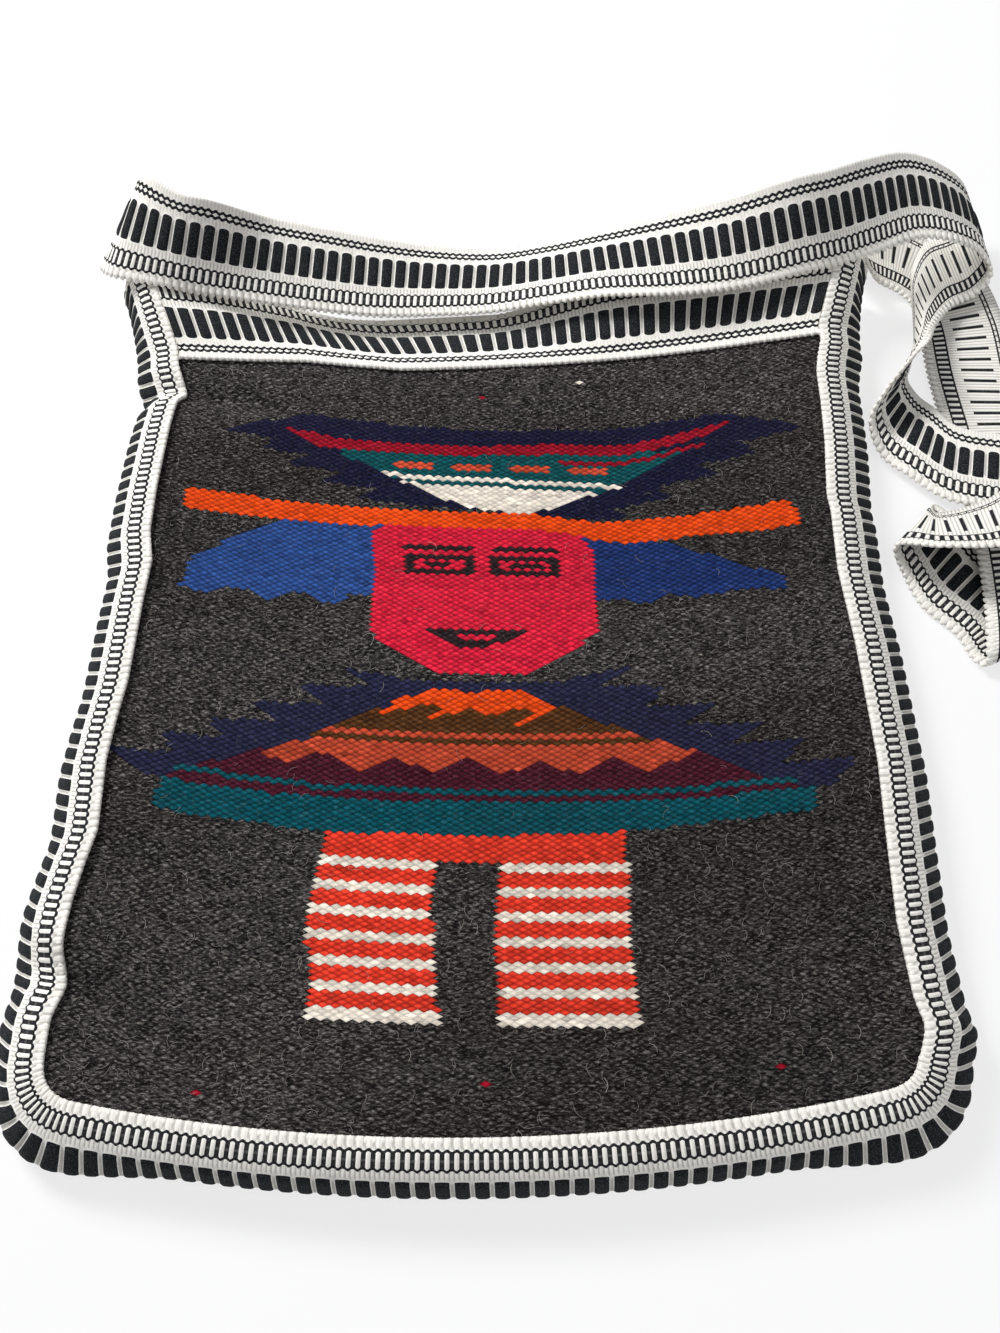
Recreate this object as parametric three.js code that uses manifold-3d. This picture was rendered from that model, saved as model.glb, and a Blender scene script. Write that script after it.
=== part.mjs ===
// A woven crossbody bag lying on its back, mouth towards +Y, front panel up.
// The origin is the middle of the back panel's resting face; lengths are millimetres.

import * as THREE from 'three';
import { mergeVertices } from 'three/addons/utils/BufferGeometryUtils.js';
import Module from 'manifold-3d';

const wasm = await Module();
wasm.setup();

// Wool panels
const HALF_WIDTH = 135; // centre line to side seam
const PANEL_TOP = 157; // upper edge of the panels
const CORNER_Y = -154; // where the side and bottom seams would cross
const CORNER_RUN = 15; // reach of the rounded bottom corners along each seam
const BOTTOM_BOW = 14; // bulge of the bottom seam
const WOOL = 2.5; // tapestry thickness
const SEAM_HEIGHT = 22; // top of the front panel at the side seams
const SAG = 11; // how far its middle hangs below the seams
const BOTTOM_SAG = 0.1; // share of the sag that is left along the bottom seam
const SAG_RUN = 60; // distance from the bottom seam to the full sag

// Woven band, used for the gusset, both mouth edges and the strap
const BAND_WIDTH = 38;
const BAND = 1.6; // band thickness
const BLOCK_PITCH = 6; // spacing of the black weft blocks
const BLOCK_FILL = 0.74; // black share of one pitch
const BLOCK_FROM = 10.3; // block start, measured from the chain edge
const BLOCK_SPAN = 14.4; // block length across the band
const BLOCK = 0.7; // height of the raised blocks
const SPINE = 0.9; // width of the yarn that joins the blocks
const MOUTH_LAP = 4; // front mouth band over the panel

// Mouth edge of the front: the strap holds its ends up and the middle hangs
const MOUTH_RISE = 10;
const MOUTH_HANG = 10; // drop of the middle under its own weight
const MOUTH_DROOP = 3; // the part of that drop that the contents leave room for
const RISE_LEFT = [0.33, 0.95]; // start and end of the rise, as shares of the half width
const RISE_RIGHT = [-0.04, 0.44];
const MOUTH_FLARE = 10; // how far the ends of the mouth spread past the side seams

// Gusset section, measured outwards from the seam; slopes are degrees below level
const GUSSET_LAP = 4; // selvage over the front panel
const SHOULDER = 1; // flat top just outside the seam
const LEDGE_SLOPE = 27; // from the shoulder to the upper edge of the block wall
const SIDE_SLOPE = 52; // block wall along the sides
const BOTTOM_SLOPE = 78; // block wall along the bottom
const SLOPE_RUN = 50; // distance from the side seams over which the wall turns upright
const RAISED_LEDGE = 12; // added to the ledge's slope at the raised mouth end
const RAISED_WALL = 20; // added to the wall's slope there
const WALL_MARGIN = 0.03; // wall left bare at each end of a block, as a share

// Fits
const GAP = 0.3; // clearance between sewn neighbours
const INLAY = 1; // thickness of the coloured weft fields

// Tapestry drawing: the weft runs downhill to the right and lifts at both sides
const DRAWING_HALF = 135; // half width of the sheet that the figure is drawn on
const DRAWING_TOP = 157;
const DRAWING_LOW = -154;
const WEFT_LIFT = 5;
const WEFT_FALL = 5.5;

// Values that follow from the sizes above
const MOUTH = PANEL_TOP - MOUTH_LAP + BAND_WIDTH;
const FREE = MOUTH - PANEL_TOP; // mouth band beyond the panel
const LEDGE = BAND_WIDTH - GUSSET_LAP - SHOULDER - BLOCK_FROM - BLOCK_SPAN;
const FACET = 4 * BLOCK_PITCH;
const LAYER_HIGH = SEAM_HEIGHT * 3; // above everything that is cut
const REACH = BAND_WIDTH + PANEL_TOP - CORNER_Y; // beyond every outline

const { clamp, degToRad, lerp, smoothstep } = THREE.MathUtils;
const vec = (x, y, z) => new THREE.Vector3(x, y, z);
const yarn = (color, roughness = 0.95) => new THREE.MeshStandardMaterial({ color, roughness, metalness: 0 });

const charcoal = yarn(0x3e3c3c);
const cotton = yarn(0xebe6da, 0.85);
const blackYarn = yarn(0x1c1e21, 0.85);
const navy = yarn(0x1d2047);
const crimson = yarn(0x960f23);
const teal = yarn(0x00646e);
const coral = yarn(0xcd4b32);
const cream = yarn(0xded8c8);
const orange = yarn(0xf0550f);
const blue = yarn(0x2d55a5);
const faceRed = yarn(0xe1193c);
const dark = yarn(0x2d2323);
const olive = yarn(0x503a19);
const rust = yarn(0xc84b2d);
const burgundy = yarn(0x4b1928);
const legRed = yarn(0xdc3723);

const bag = new THREE.Group();

function add(name, geometry, material) {
  geometry.computeVertexNormals();
  const mesh = new THREE.Mesh(geometry, material);
  mesh.name = name;
  bag.add(mesh);
}

// Closed surfaces from quads

function closedSurface(corners) {
  const soup = new THREE.BufferGeometry();
  const flat = corners.flatMap((p) => [p.x, p.y, p.z]);
  soup.setAttribute('position', new THREE.Float32BufferAttribute(flat, 3));
  const geometry = mergeVertices(soup, 1e-3);
  if (volume(geometry) < 0) geometry.index.array.reverse();
  return geometry;
}

function volume(geometry) {
  const at = geometry.attributes.position;
  const index = geometry.index.array;
  let sum = 0;
  for (let i = 0; i < index.length; i += 3) {
    const [a, b, c] = [0, 1, 2].map((k) => vec(0, 0, 0).fromBufferAttribute(at, index[i + k]));
    sum += a.dot(b.cross(c));
  }
  return sum;
}

const quad = (a, b, c, d) => [a, b, c, a, c, d];

// A station is one cross line of a band: its points, and at each the direction of its thickness.
// spot gives the point at a place across the station and a height above it.
function spot(station, across, height) {
  const last = station.points.length - 2;
  const k = Math.min(Math.floor(across), last);
  const share = across - k;
  const point = station.points[k].clone().lerp(station.points[k + 1], share);
  const up = station.ups[k].clone().lerp(station.ups[k + 1], share);
  return point.addScaledVector(up, height);
}

// A band of even thickness through a list of stations
function bandBody(stations, under, over) {
  const lines = stations[0].points.length;
  const corners = [];
  const face = (i, k, j, m, low, high) => {
    const [p, q] = [stations[i], stations[j]];
    corners.push(...quad(spot(p, k, low), spot(q, m, low), spot(q, m, high), spot(p, k, high)));
  };
  const cap = (i, k, turned) => {
    const s = stations[i];
    const ring = [spot(s, k, under), spot(s, k, over), spot(s, k + 1, over), spot(s, k + 1, under)];
    corners.push(...quad(...(turned ? ring.reverse() : ring)));
  };
  for (let i = 0; i + 1 < stations.length; i += 1) {
    const [p, q] = [stations[i], stations[i + 1]];
    for (let k = 0; k + 1 < lines; k += 1) {
      corners.push(...quad(spot(p, k, over), spot(q, k, over), spot(q, k + 1, over), spot(p, k + 1, over)));
      corners.push(
        ...quad(spot(p, k, under), spot(p, k + 1, under), spot(q, k + 1, under), spot(q, k, under)));
    }
    face(i, 0, i + 1, 0, under, over);
    face(i + 1, lines - 1, i, lines - 1, under, over);
  }
  for (let k = 0; k + 1 < lines; k += 1) {
    cap(0, k, false);
    cap(stations.length - 1, k, true);
  }
  return closedSurface(corners);
}

// Raised weft blocks along a band: each facet between stations takes as many as its length allows,
// and a narrow spine along the low side joins them into one yarn
function blockRow(stations, low, spine, high, under, over) {
  const corners = [];
  // A place on a facet, on the same two triangles as the band has there
  const between = (i, u, across, height) => {
    const k = Math.min(Math.floor(across), stations[i].points.length - 2);
    const share = across - k;
    const corner = (j, m) => spot(stations[i + j], k + m, height);
    const turn = u >= share ? corner(1, 0) : corner(0, 1);
    const [first, second] = u >= share ? [u, share] : [share, u];
    const step = corner(1, 1).sub(turn).multiplyScalar(second);
    return corner(0, 0).lerp(turn, first).add(step);
  };
  const upright = (i, u, t, v, s) =>
    corners.push(...quad(between(i, u, t, under), between(i, v, s, under),
      between(i, v, s, over), between(i, u, t, over)));
  for (let i = 0; i + 1 < stations.length; i += 1) {
    const middle = (low + high) / 2;
    const length = spot(stations[i], middle, 0).distanceTo(spot(stations[i + 1], middle, 0));
    const count = Math.max(1, Math.round(length / BLOCK_PITCH));
    const edge = [0];
    for (let b = 0; b < count; b += 1) {
      edge.push((b + 0.5 - BLOCK_FILL / 2) / count, (b + 0.5 + BLOCK_FILL / 2) / count);
    }
    edge.push(1);
    for (const [height, turned] of [[over, false], [under, true]]) {
      const root = between(i, 0, low, height);
      const tri = (b, c) => corners.push(...(turned ? [root, c, b] : [root, b, c]));
      tri(between(i, 1, low, height), between(i, 1, spine, height));
      for (let e = 0; e + 1 < edge.length; e += 1) {
        tri(between(i, edge[e + 1], spine, height), between(i, edge[e], spine, height));
      }
    }
    upright(i, 0, low, 1, low);
    for (let e = 0; e + 1 < edge.length; e += 1) {
      const [u, v] = [edge[e], edge[e + 1]];
      if (e % 2 === 0) {
        upright(i, v, spine, u, spine);
        continue;
      }
      const block = (height) => [between(i, u, spine, height), between(i, v, spine, height),
        between(i, v, high, height), between(i, u, high, height)];
      corners.push(...quad(...block(over)));
      const [a, b, c, d] = block(under);
      corners.push(...quad(a, d, c, b));
      upright(i, v, spine, v, high);
      upright(i, v, high, u, high);
      upright(i, u, high, u, spine);
    }
  }
  upright(0, 0, spine, 0, low);
  upright(stations.length - 2, 1, low, 1, spine);
  return closedSurface(corners);
}

// Booleans

function toSolid(geometry) {
  const bare = geometry.clone();
  bare.deleteAttribute('normal');
  bare.deleteAttribute('uv');
  const merged = mergeVertices(bare, 1e-4);
  return new wasm.Manifold(new wasm.Mesh({
    numProp: 3,
    vertProperties: Float32Array.from(merged.attributes.position.array),
    triVerts: Uint32Array.from(merged.index.array),
  }));
}

function toGeometry(solid) {
  const { vertProperties, triVerts } = solid.getMesh();
  const geometry = new THREE.BufferGeometry();
  geometry.setAttribute('position', new THREE.Float32BufferAttribute(vertProperties, 3));
  geometry.setIndex(Array.from(triVerts));
  return geometry;
}

// An upright prism over an outline, tall enough to pass through the whole bag
function prism(outline) {
  const shape = new THREE.Shape(outline.map(([x, y]) => new THREE.Vector2(x, y)));
  const geometry = new THREE.ExtrudeGeometry(shape, { depth: 2 * LAYER_HIGH, bevelEnabled: false });
  geometry.translate(0, 0, -LAYER_HIGH);
  return toSolid(geometry);
}

// An outline moved outwards by a distance, with sharp corners kept
function grown(outline, distance) {
  const turn = THREE.ShapeUtils.isClockWise(outline.map(([x, y]) => ({ x, y }))) ? -1 : 1;
  return outline.map(([x, y], i) => {
    const before = outline[(i + outline.length - 1) % outline.length];
    const after = outline[(i + 1) % outline.length];
    const a = new THREE.Vector2(x - before[0], y - before[1]).normalize();
    const b = new THREE.Vector2(after[0] - x, after[1] - y).normalize();
    const normal = new THREE.Vector2(a.y + b.y, -a.x - b.x).multiplyScalar(turn);
    const scale = (2 * distance) / Math.max(normal.lengthSq(), 0.1);
    return [x + normal.x * scale, y + normal.y * scale];
  });
}

// Seam line of the front panel, from the mouth down the left side, round the bottom and up the right

const cornerTurn = new THREE.Vector2(-HALF_WIDTH, CORNER_Y);
const bottomPull = new THREE.Vector2(0, CORNER_Y - 2 * BOTTOM_BOW);
const cornerEnd = cornerTurn.clone().add(
  bottomPull.clone().sub(cornerTurn).setLength(CORNER_RUN));

function seamCurves() {
  const mirror = (p) => new THREE.Vector2(-p.x, p.y);
  const cornerStart = new THREE.Vector2(-HALF_WIDTH, CORNER_Y + CORNER_RUN);
  const left = new THREE.QuadraticBezierCurve(cornerStart, cornerTurn, cornerEnd);
  const bottom = new THREE.QuadraticBezierCurve(cornerEnd, bottomPull, mirror(cornerEnd));
  const right = new THREE.QuadraticBezierCurve(mirror(cornerEnd), mirror(cornerTurn), mirror(cornerStart));
  return [left, bottom, right];
}

const flare = (y) => MOUTH_FLARE * clamp((y - PANEL_TOP) / FREE, 0, 1);
const besideMouth = (side, y) => ({
  at: new THREE.Vector2(side * (HALF_WIDTH + flare(y)), y),
  out: new THREE.Vector2(side, 0),
});

// Points of the seam with their outward directions, about one block apart on the curved stretches
function seamStations() {
  const stations = [besideMouth(-1, PANEL_TOP)];
  seamCurves().forEach((curve, c) => {
    const steps = Math.round(curve.getLength() / BLOCK_PITCH);
    for (let i = c === 0 ? 0 : 1; i <= steps; i += 1) {
      const along = curve.getTangentAt(i / steps);
      stations.push({ at: curve.getPointAt(i / steps), out: new THREE.Vector2(along.y, -along.x) });
    }
  });
  stations.push(besideMouth(1, PANEL_TOP));
  return stations;
}

const seam = seamStations();

// Seam of a panel that reaches past the front seam by an outset at each station
const panelOutline = (outset) => seam.map((station) => {
  const { at, out } = station;
  return [at.x + out.x * outset(station), at.y + out.y * outset(station)];
});

// Height of the front panel's top face
const BOTTOM = CORNER_Y - BOTTOM_BOW;
const sagShare = (y) => lerp(BOTTOM_SAG, 1, smoothstep(y, BOTTOM, BOTTOM + SAG_RUN));
const panelHeight = (x, y) => SEAM_HEIGHT - SAG * sagShare(y) * (1 - Math.min(1, (x / HALF_WIDTH) ** 2));
const mouthHeight = (x) => panelHeight(x, PANEL_TOP) + GAP + BAND;

// How far the mouth edge stands above the panel's upper edge
function mouthLift(x) {
  const share = x / HALF_WIDTH;
  const risen = smoothstep(-share, ...RISE_LEFT) + smoothstep(share, ...RISE_RIGHT);
  return Math.max(-MOUTH_DROOP, lerp(-MOUTH_HANG, MOUTH_RISE, risen));
}

// Places across the bag where a sagging sheet has its facets
function acrossPlaces(half, facet) {
  const places = [-half];
  const count = Math.floor(half / facet - GAP);
  for (let i = -count; i <= count; i += 1) places.push(i * facet);
  places.push(half);
  return places;
}

// Front panel and its coloured fields

const SAG_STEPS = 4;

function layer(under, over) {
  const heights = [-REACH];
  for (let i = 0; i <= SAG_STEPS; i += 1) heights.push(BOTTOM + SAG_RUN * (i / SAG_STEPS));
  heights.push(REACH);
  const stations = acrossPlaces(HALF_WIDTH, FACET).map((x) => ({
    points: heights.map((y) => vec(x, y, panelHeight(x, y))),
    ups: heights.map(() => vec(0, 0, 1)),
  }));
  return toSolid(bandBody(stations, under, over));
}

// A point of the drawing, woven into the panel
function woven([x, y]) {
  const share = x / DRAWING_HALF;
  const lift = WEFT_LIFT * share * share - WEFT_FALL * share;
  const scale = (PANEL_TOP - CORNER_Y) / (DRAWING_TOP - DRAWING_LOW);
  return [share * HALF_WIDTH, CORNER_Y + (y + lift - DRAWING_LOW) * scale];
}

const box = (left, right, low, high) => [[left, low], [right, low], [right, high], [left, high]];

// Feathered edge: tips and the notches between them
function feathers(tip, step, notch, count) {
  const points = [];
  for (let i = 0; i < count; i += 1) {
    points.push([tip[0] + step[0] * i, tip[1] + step[1] * i]);
    if (i + 1 < count) points.push([tip[0] + step[0] * i + notch[0], tip[1] + step[1] * i + notch[1]]);
  }
  return points;
}

const hatCrown = [
  ...feathers([-110, 106.5], [14, -7.1], [22, -2], 5),
  ...feathers([52, 72.6], [18, 9.1], [8, 6.8], 5),
  [107, 117], [90, 121], [44, 118.5], [-3, 116.7], [-82, 120],
];
const hatTeal = [[-62, 104], [-62, 99.5], [-42, 90.2], [50, 89.6], [73, 101.5], [60, 106]];
const hatCrimson = [[-86, 111], [-71, 103.6], [-30, 101.7], [14, 102.5], [56, 104.8], [98, 115.6],
  [61, 111], [14, 107.7], [-39, 107.5]];
const hatPoint = [[-36, 90], [-9, 76], [16, 73.5], [47, 87.4]];
const hatBrim = [[-120, 74.6], [-121, 64.8], [-50, 65.6], [13, 66.4], [30, 64.5], [54, 59.6], [119.5, 61.6],
  [118, 74], [76, 70.6], [42, 71], [13, 74]];
const hairLeft = [[-77, 67], [-112, 44], [-115, 29], [-107, 28], [-102, 31.6], [-94, 31.2], [-89, 27.5],
  [-84, 28], [-79, 32], [-71, 32.5], [-67, 28.6], [-60, 28.8], [-55, 32.8], [-38, 33], [-38, 67]];
const hairRight = [[30, 66], [30, 34], [52, 33], [56, 30.8], [62, 31.6], [66, 34.5], [77, 32.5], [90, 34],
  [112, 33.7], [111, 39], [69, 58], [50, 63]];
const face = [[-41.5, 67], [-47, 60.5], [-47.2, 17.4], [-23, 2], [-17, 0.8], [9, 0.8], [15, 2], [39, 18],
  [39, 58.5], [33, 66]];
const mouth = [[-26.5, 20], [-13, 12.4], [-2, 12.4], [15, 20.6]];
const ponchoNavy = [
  [-30, -2], ...feathers([-55, 1.5], [-15.5, -8.5], [9, -7], 6), [-118, -49.6],
  [115, -48.4], ...feathers([128.2, -38], [-15.5, 8.3], [-27.5, 0.3], 6), [22, -2],
];
const ponchoPeak = [[-24, -4.6], [-41, -17.3], [-27, -13], [-19, -16], [-12, -13.5], [-5, -18], [4, -15],
  [13, -18.5], [24, -13], [11, -5.7]];
const ponchoOlive = [[-42, -14.5], [-66, -27], [-58, -28], [38, -25], [46, -20.5], [24, -11.5], [-10, -10]];
const ponchoBurgundy = [[-113, -48.6], [-103, -44], [-81, -34], [70, -31], [95, -43.5], [106, -48.2],
  [106, -51], [-113, -53]];
const hemBar = [[-115.5, -49.5], [-117, -60.5], [-113, -61.8], [-58, -63.5], [35, -61.3], [113.5, -56.3],
  [113.5, -48.3], [30, -49.6], [-4, -49.4], [-76, -51]];

// Rust band with a zigzag lower edge
const ZIGZAG_STEP = 25.1;
const ZIGZAG_COUNT = 6;
const ponchoRust = [
  [70.4, -31.3], [40, -20], [-52, -22], [-80.3, -35.4],
  ...feathers([-70.7, -39], [ZIGZAG_STEP, 0], [ZIGZAG_STEP / 2, 6], ZIGZAG_COUNT),
];

// Striped legs: red and white combs that reach between each other's stripes
const LEG_TOP = -73;
const STRIPE_PERIOD = 8.3;
const WHITE_STRIPE = 3.7;
const LAST_STRIPE = 5.8;
const STRIPE_COUNT = 7;
const CARRIED_YARN = 1.3; // width of the yarn carried up the side of a leg
const legLow = LEG_TOP - (STRIPE_COUNT - 1) * STRIPE_PERIOD - LAST_STRIPE;
const legs = { left: [-61, -18.5], right: [48, 2.5] }; // outer and inner side
const trousers = [
  [legs.left[0], LEG_TOP + 13], [legs.left[0], legLow], [legs.left[1], legLow], [legs.left[1], LEG_TOP],
  [legs.right[1], LEG_TOP], [legs.right[1], legLow], [legs.right[0], legLow], [legs.right[0], LEG_TOP + 13],
];

function sock([outer, inner]) {
  const side = Math.sign(inner - outer);
  const points = [[outer - side, legLow - 1], [outer - side, LEG_TOP]];
  for (let i = 0; i < STRIPE_COUNT; i += 1) {
    const high = LEG_TOP - i * STRIPE_PERIOD;
    const last = i === STRIPE_COUNT - 1;
    const low = last ? legLow - 1 : high - WHITE_STRIPE;
    const tip = last ? inner + side : inner - side * CARRIED_YARN;
    if (i > 0) points.push([outer + side * CARRIED_YARN, high]);
    points.push([tip, high], [tip, low]);
    if (!last) points.push([outer + side * CARRIED_YARN, low]);
  }
  return points;
}

// Eyes and brows
const EYE_WIDTH = 27.6;
const EYE_RIM = 4;
const eyeBoxes = {};
const eyePlaces = [['left', -35.3, 45, 53, 55.2], ['right', -1, 43.8, 52.6, 54.8]];
for (const [side, left, low, high, brow] of eyePlaces) {
  eyeBoxes[`brow_${side}`] = [box(left + 1, left + EYE_WIDTH, brow, brow + 2.6), dark];
  eyeBoxes[`eye_${side}`] = [box(left, left + EYE_WIDTH, low, high), dark];
  eyeBoxes[`eye_${side}_centre`] = [
    box(left + EYE_RIM, left + EYE_WIDTH - EYE_RIM, low + EYE_RIM / 2, high - EYE_RIM / 2), faceRed];
}

// Coral dashes in the hat
const DASH_WIDTH = 16;
const DASH_STEP = 23.3;
const dashes = {};
for (let i = 0; i < 4; i += 1) {
  const left = -41 + i * DASH_STEP;
  dashes[`hat_dash_${i + 1}`] = [box(left, left + DASH_WIDTH, 93.8, 98.6), coral];
}

// A later field lies over an earlier one
const fields = {
  hat_crown: [hatCrown, navy],
  hat_teal: [hatTeal, teal],
  hat_crimson: [hatCrimson, crimson],
  ...dashes,
  hat_point: [hatPoint, cream],
  hair_left: [hairLeft, blue],
  hair_right: [hairRight, blue],
  poncho_navy: [ponchoNavy, navy],
  face: [face, faceRed],
  hat_brim: [hatBrim, orange],
  ...eyeBoxes,
  mouth: [mouth, dark],
  poncho_burgundy: [ponchoBurgundy, burgundy],
  poncho_rust: [ponchoRust, rust],
  poncho_olive: [ponchoOlive, olive],
  poncho_peak: [ponchoPeak, orange],
  trousers: [trousers, legRed],
  sock_left: [sock(legs.left), cream],
  sock_right: [sock(legs.right), cream],
  hem_bar: [hemBar, teal],
};

function frontPanel() {
  const outlines = Object.values(fields).map(([points]) => points.map(woven));
  const wide = outlines.map((outline) => prism(grown(outline, GAP / 2)));
  const pocket = layer(-INLAY - GAP, LAYER_HIGH);
  const top = layer(-INLAY, 0);
  let panel = layer(-WOOL, 0).intersect(prism(panelOutline(() => 0)));
  for (const cutter of wide) panel = panel.subtract(pocket.intersect(cutter));
  add('front_panel', toGeometry(panel), charcoal);
  Object.entries(fields).forEach(([name, [, material]], i) => {
    let field = top.intersect(prism(grown(outlines[i], -GAP / 2)));
    for (const cutter of wide.slice(i + 1)) field = field.subtract(cutter);
    add(name, toGeometry(field), material);
  });
}

function backPanel() {
  const shape = new THREE.Shape(panelOutline(backOutset).map(([x, y]) => new THREE.Vector2(x, y)));
  add('back_panel', new THREE.ExtrudeGeometry(shape, { depth: WOOL, bevelEnabled: false }), charcoal);
}

// Mouth bands: chain edge on the panel, ladder edge at the mouth

// Cross line of the front mouth band: flat on the panel, then sloped to the mouth edge
function mouthStation(x) {
  const lift = mouthLift(x);
  const slope = new THREE.Vector2(Math.sqrt(FREE * FREE - lift * lift), lift).divideScalar(FREE);
  const places = [-MOUTH_LAP, 0, BLOCK_FROM - MOUTH_LAP, BLOCK_FROM + BLOCK_SPAN - MOUTH_LAP, FREE];
  const height = panelHeight(x, PANEL_TOP);
  const points = places.map((d) => (d < 0 ? vec(x, PANEL_TOP + d, height)
    : vec(x * (1 + flare(PANEL_TOP + d) / HALF_WIDTH), PANEL_TOP + d * slope.x, height + d * slope.y)));
  const up = vec(0, -slope.y, slope.x);
  const bend = vec(0, 0, 1).add(up);
  const ups = [vec(0, 0, 1), bend.multiplyScalar(2 / bend.lengthSq()), up, up, up];
  return { points, ups };
}

function frontMouthBand() {
  const half = HALF_WIDTH - GUSSET_LAP - GAP;
  const stations = acrossPlaces(half, BLOCK_PITCH).map(mouthStation);
  add('front_mouth_band', bandBody(stations, GAP, GAP + BAND), cotton);
  const low = 2;
  const under = 2 * GAP + BAND;
  const blocks = blockRow(stations, low, low + SPINE / BLOCK_SPAN, low + 1, under, under + BLOCK);
  add('front_mouth_blocks', blocks, blackYarn);
}

// The back band lies on its face, so its blocks sit in a groove, level with the face
function backMouthBand() {
  const half = HALF_WIDTH + backOutset(seam[0]);
  const low = PANEL_TOP + GAP;
  const flat = (from, to, reach) => [-1, 1].map((side) => ({
    points: [from, to].map((y) => vec(side * (reach + flare(y)), y, 0)),
    ups: [vec(0, 0, 1), vec(0, 0, 1)],
  }));
  const blockLow = MOUTH - BAND_WIDTH + BLOCK_FROM;
  const blockHigh = blockLow + BLOCK_SPAN;
  const groove = bandBody(flat(blockLow - GAP, blockHigh + GAP, half + BAND), -BAND, BLOCK + GAP);
  const body = toSolid(bandBody(flat(low, MOUTH, half), 0, BAND)).subtract(toSolid(groove));
  add('back_mouth_band', toGeometry(body), cotton);
  const row = blockRow(flat(blockLow, blockHigh, half - GAP), 0, SPINE / BLOCK_SPAN, 1, 0, BLOCK);
  add('back_mouth_blocks', row, blackYarn);
}

// Gusset

// Direction of the thickness at each point of a section, so that every wall is equally thick
function mitres(section) {
  const last = section.length - 1;
  return section.map((p, i) => {
    const before = p.clone().sub(section[Math.max(i - 1, 0)]).normalize();
    const after = section[Math.min(i + 1, last)].clone().sub(p).normalize();
    const normal = new THREE.Vector2(-before.y - after.y, before.x + after.x);
    if (i === 0 || i === last) return normal;
    return normal.multiplyScalar(2 / normal.lengthSq());
  });
}

// Section of the gusset at a seam point, from the selvage on the front panel to the back seam
function gussetSection({ at }) {
  const raised = clamp((at.y - PANEL_TOP) / FREE, 0, 1);
  const top = panelHeight(at.x, at.y) + GAP + BAND + MOUTH_RISE * raised;
  const down = (from, degrees, length) => new THREE.Vector2(
    from.x + length * Math.cos(degToRad(degrees)), from.y - length * Math.sin(degToRad(degrees)));
  const shoulder = new THREE.Vector2(SHOULDER, top);
  const ledge = down(shoulder, LEDGE_SLOPE + RAISED_LEDGE * raised, LEDGE);
  const upright = smoothstep(HALF_WIDTH - Math.abs(at.x), 0, SLOPE_RUN);
  const slope = lerp(SIDE_SLOPE, BOTTOM_SLOPE, upright) + RAISED_WALL * raised * (2 - raised);
  const wall = down(ledge, slope, BLOCK_SPAN);
  const drop = Math.min(wall.y, BLOCK_FROM);
  const foot = new THREE.Vector2(wall.x - Math.sqrt(BLOCK_FROM ** 2 - drop ** 2), wall.y - drop);
  return [new THREE.Vector2(-GUSSET_LAP, top), shoulder, ledge, wall, foot];
}

// The back panel ends just inside the gusset's foot
const backOutset = (station) => gussetSection(station).at(-1).x - BAND - GAP;

function gussetStation(station) {
  const { at, out } = station;
  const section = gussetSection(station);
  const place = (p, origin) => vec(origin.x + out.x * p.x, origin.y + out.y * p.x, p.y);
  return {
    points: section.map((p) => place(p, at)),
    ups: mitres(section).map((m) => place(m, { x: 0, y: 0 })),
  };
}

// Stations beside the mouth, from the mouth edge down to the panels
function raisedStations(side) {
  const count = Math.round(FREE / BLOCK_PITCH);
  return Array.from({ length: count }, (_, i) => besideMouth(side, MOUTH - FREE * (i / count)));
}

function gusset() {
  const stations = [...raisedStations(-1), ...seam, ...raisedStations(1).reverse()].map(gussetStation);
  add('gusset_band', bandBody(stations, -BAND, 0), cotton);
  const wall = 2;
  const low = wall + WALL_MARGIN;
  const blocks = blockRow(stations, low, low + SPINE / BLOCK_SPAN, wall + 1 - WALL_MARGIN, GAP, GAP + BLOCK);
  add('gusset_blocks', blocks, blackYarn);
}

const GATHERED = 4; // stations at each end of the strap that are gathered, without blocks

// Shoulder strap. Each stop gives the ladder edge, the direction to the chain edge and, where the band
// is gathered or crossed at a slant, the distance between them.

const leftStops = [
  { at: [-18.4, 0.4, 26.3], to: [-4.1, 0, -12.6], wide: 12.6 },
  { at: [-20, 9, 25], to: [0, 7, -14], wide: 20 },
  { at: [-22.5, 15, 21.5], to: [11, 20, -8], wide: 32 },
  { at: [-26, 14, 21], to: [21, 24, 5], wide: 39 },
  { at: [-32, 8, 27], to: [23, 30, 19], wide: 43 },
  { at: [-25, -4, 33], to: [17, 29, 27], wide: 45 },
];

// The run over the mouth: share of the half width, distance past the mouth, height above the panel's edge
const runStops = [
  { at: [-1.01, -10.9, 9.6], to: [9.8, 25.6, 26.4] },
  { at: [-0.909, -12, 8], to: [8.1, 26.1, 26.4] },
  { at: [-0.72, -13, 6.2], to: [4.6, 34.9, 14.4] },
  { at: [-0.536, -12.8, 3.2], to: [3.2, 35.9, 12.1] },
  { at: [-0.35, -12, 1.2], to: [1.8, 37.1, 8.6] },
  { at: [-0.167, -10, 0.9], to: [2.5, 37.9, 2.8] },
  { at: [0.02, -9.5, 1.8], to: [2.4, 37.9, -0.6] },
  { at: [0.2, -12, 6.6], to: [0, 37.9, -1.4] },
  { at: [0.378, -14, 11.3], to: [-2.7, 37.9, 0.3] },
  { at: [0.583, -17.5, 12.8], to: [-3.8, 36.8, 8.9] },
  { at: [0.8, -17, 12], to: [-4.5, 33.3, 17.8] },
  { at: [1.02, -10, 10], to: [-8.1, 26.8, 25.7] },
];

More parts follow.
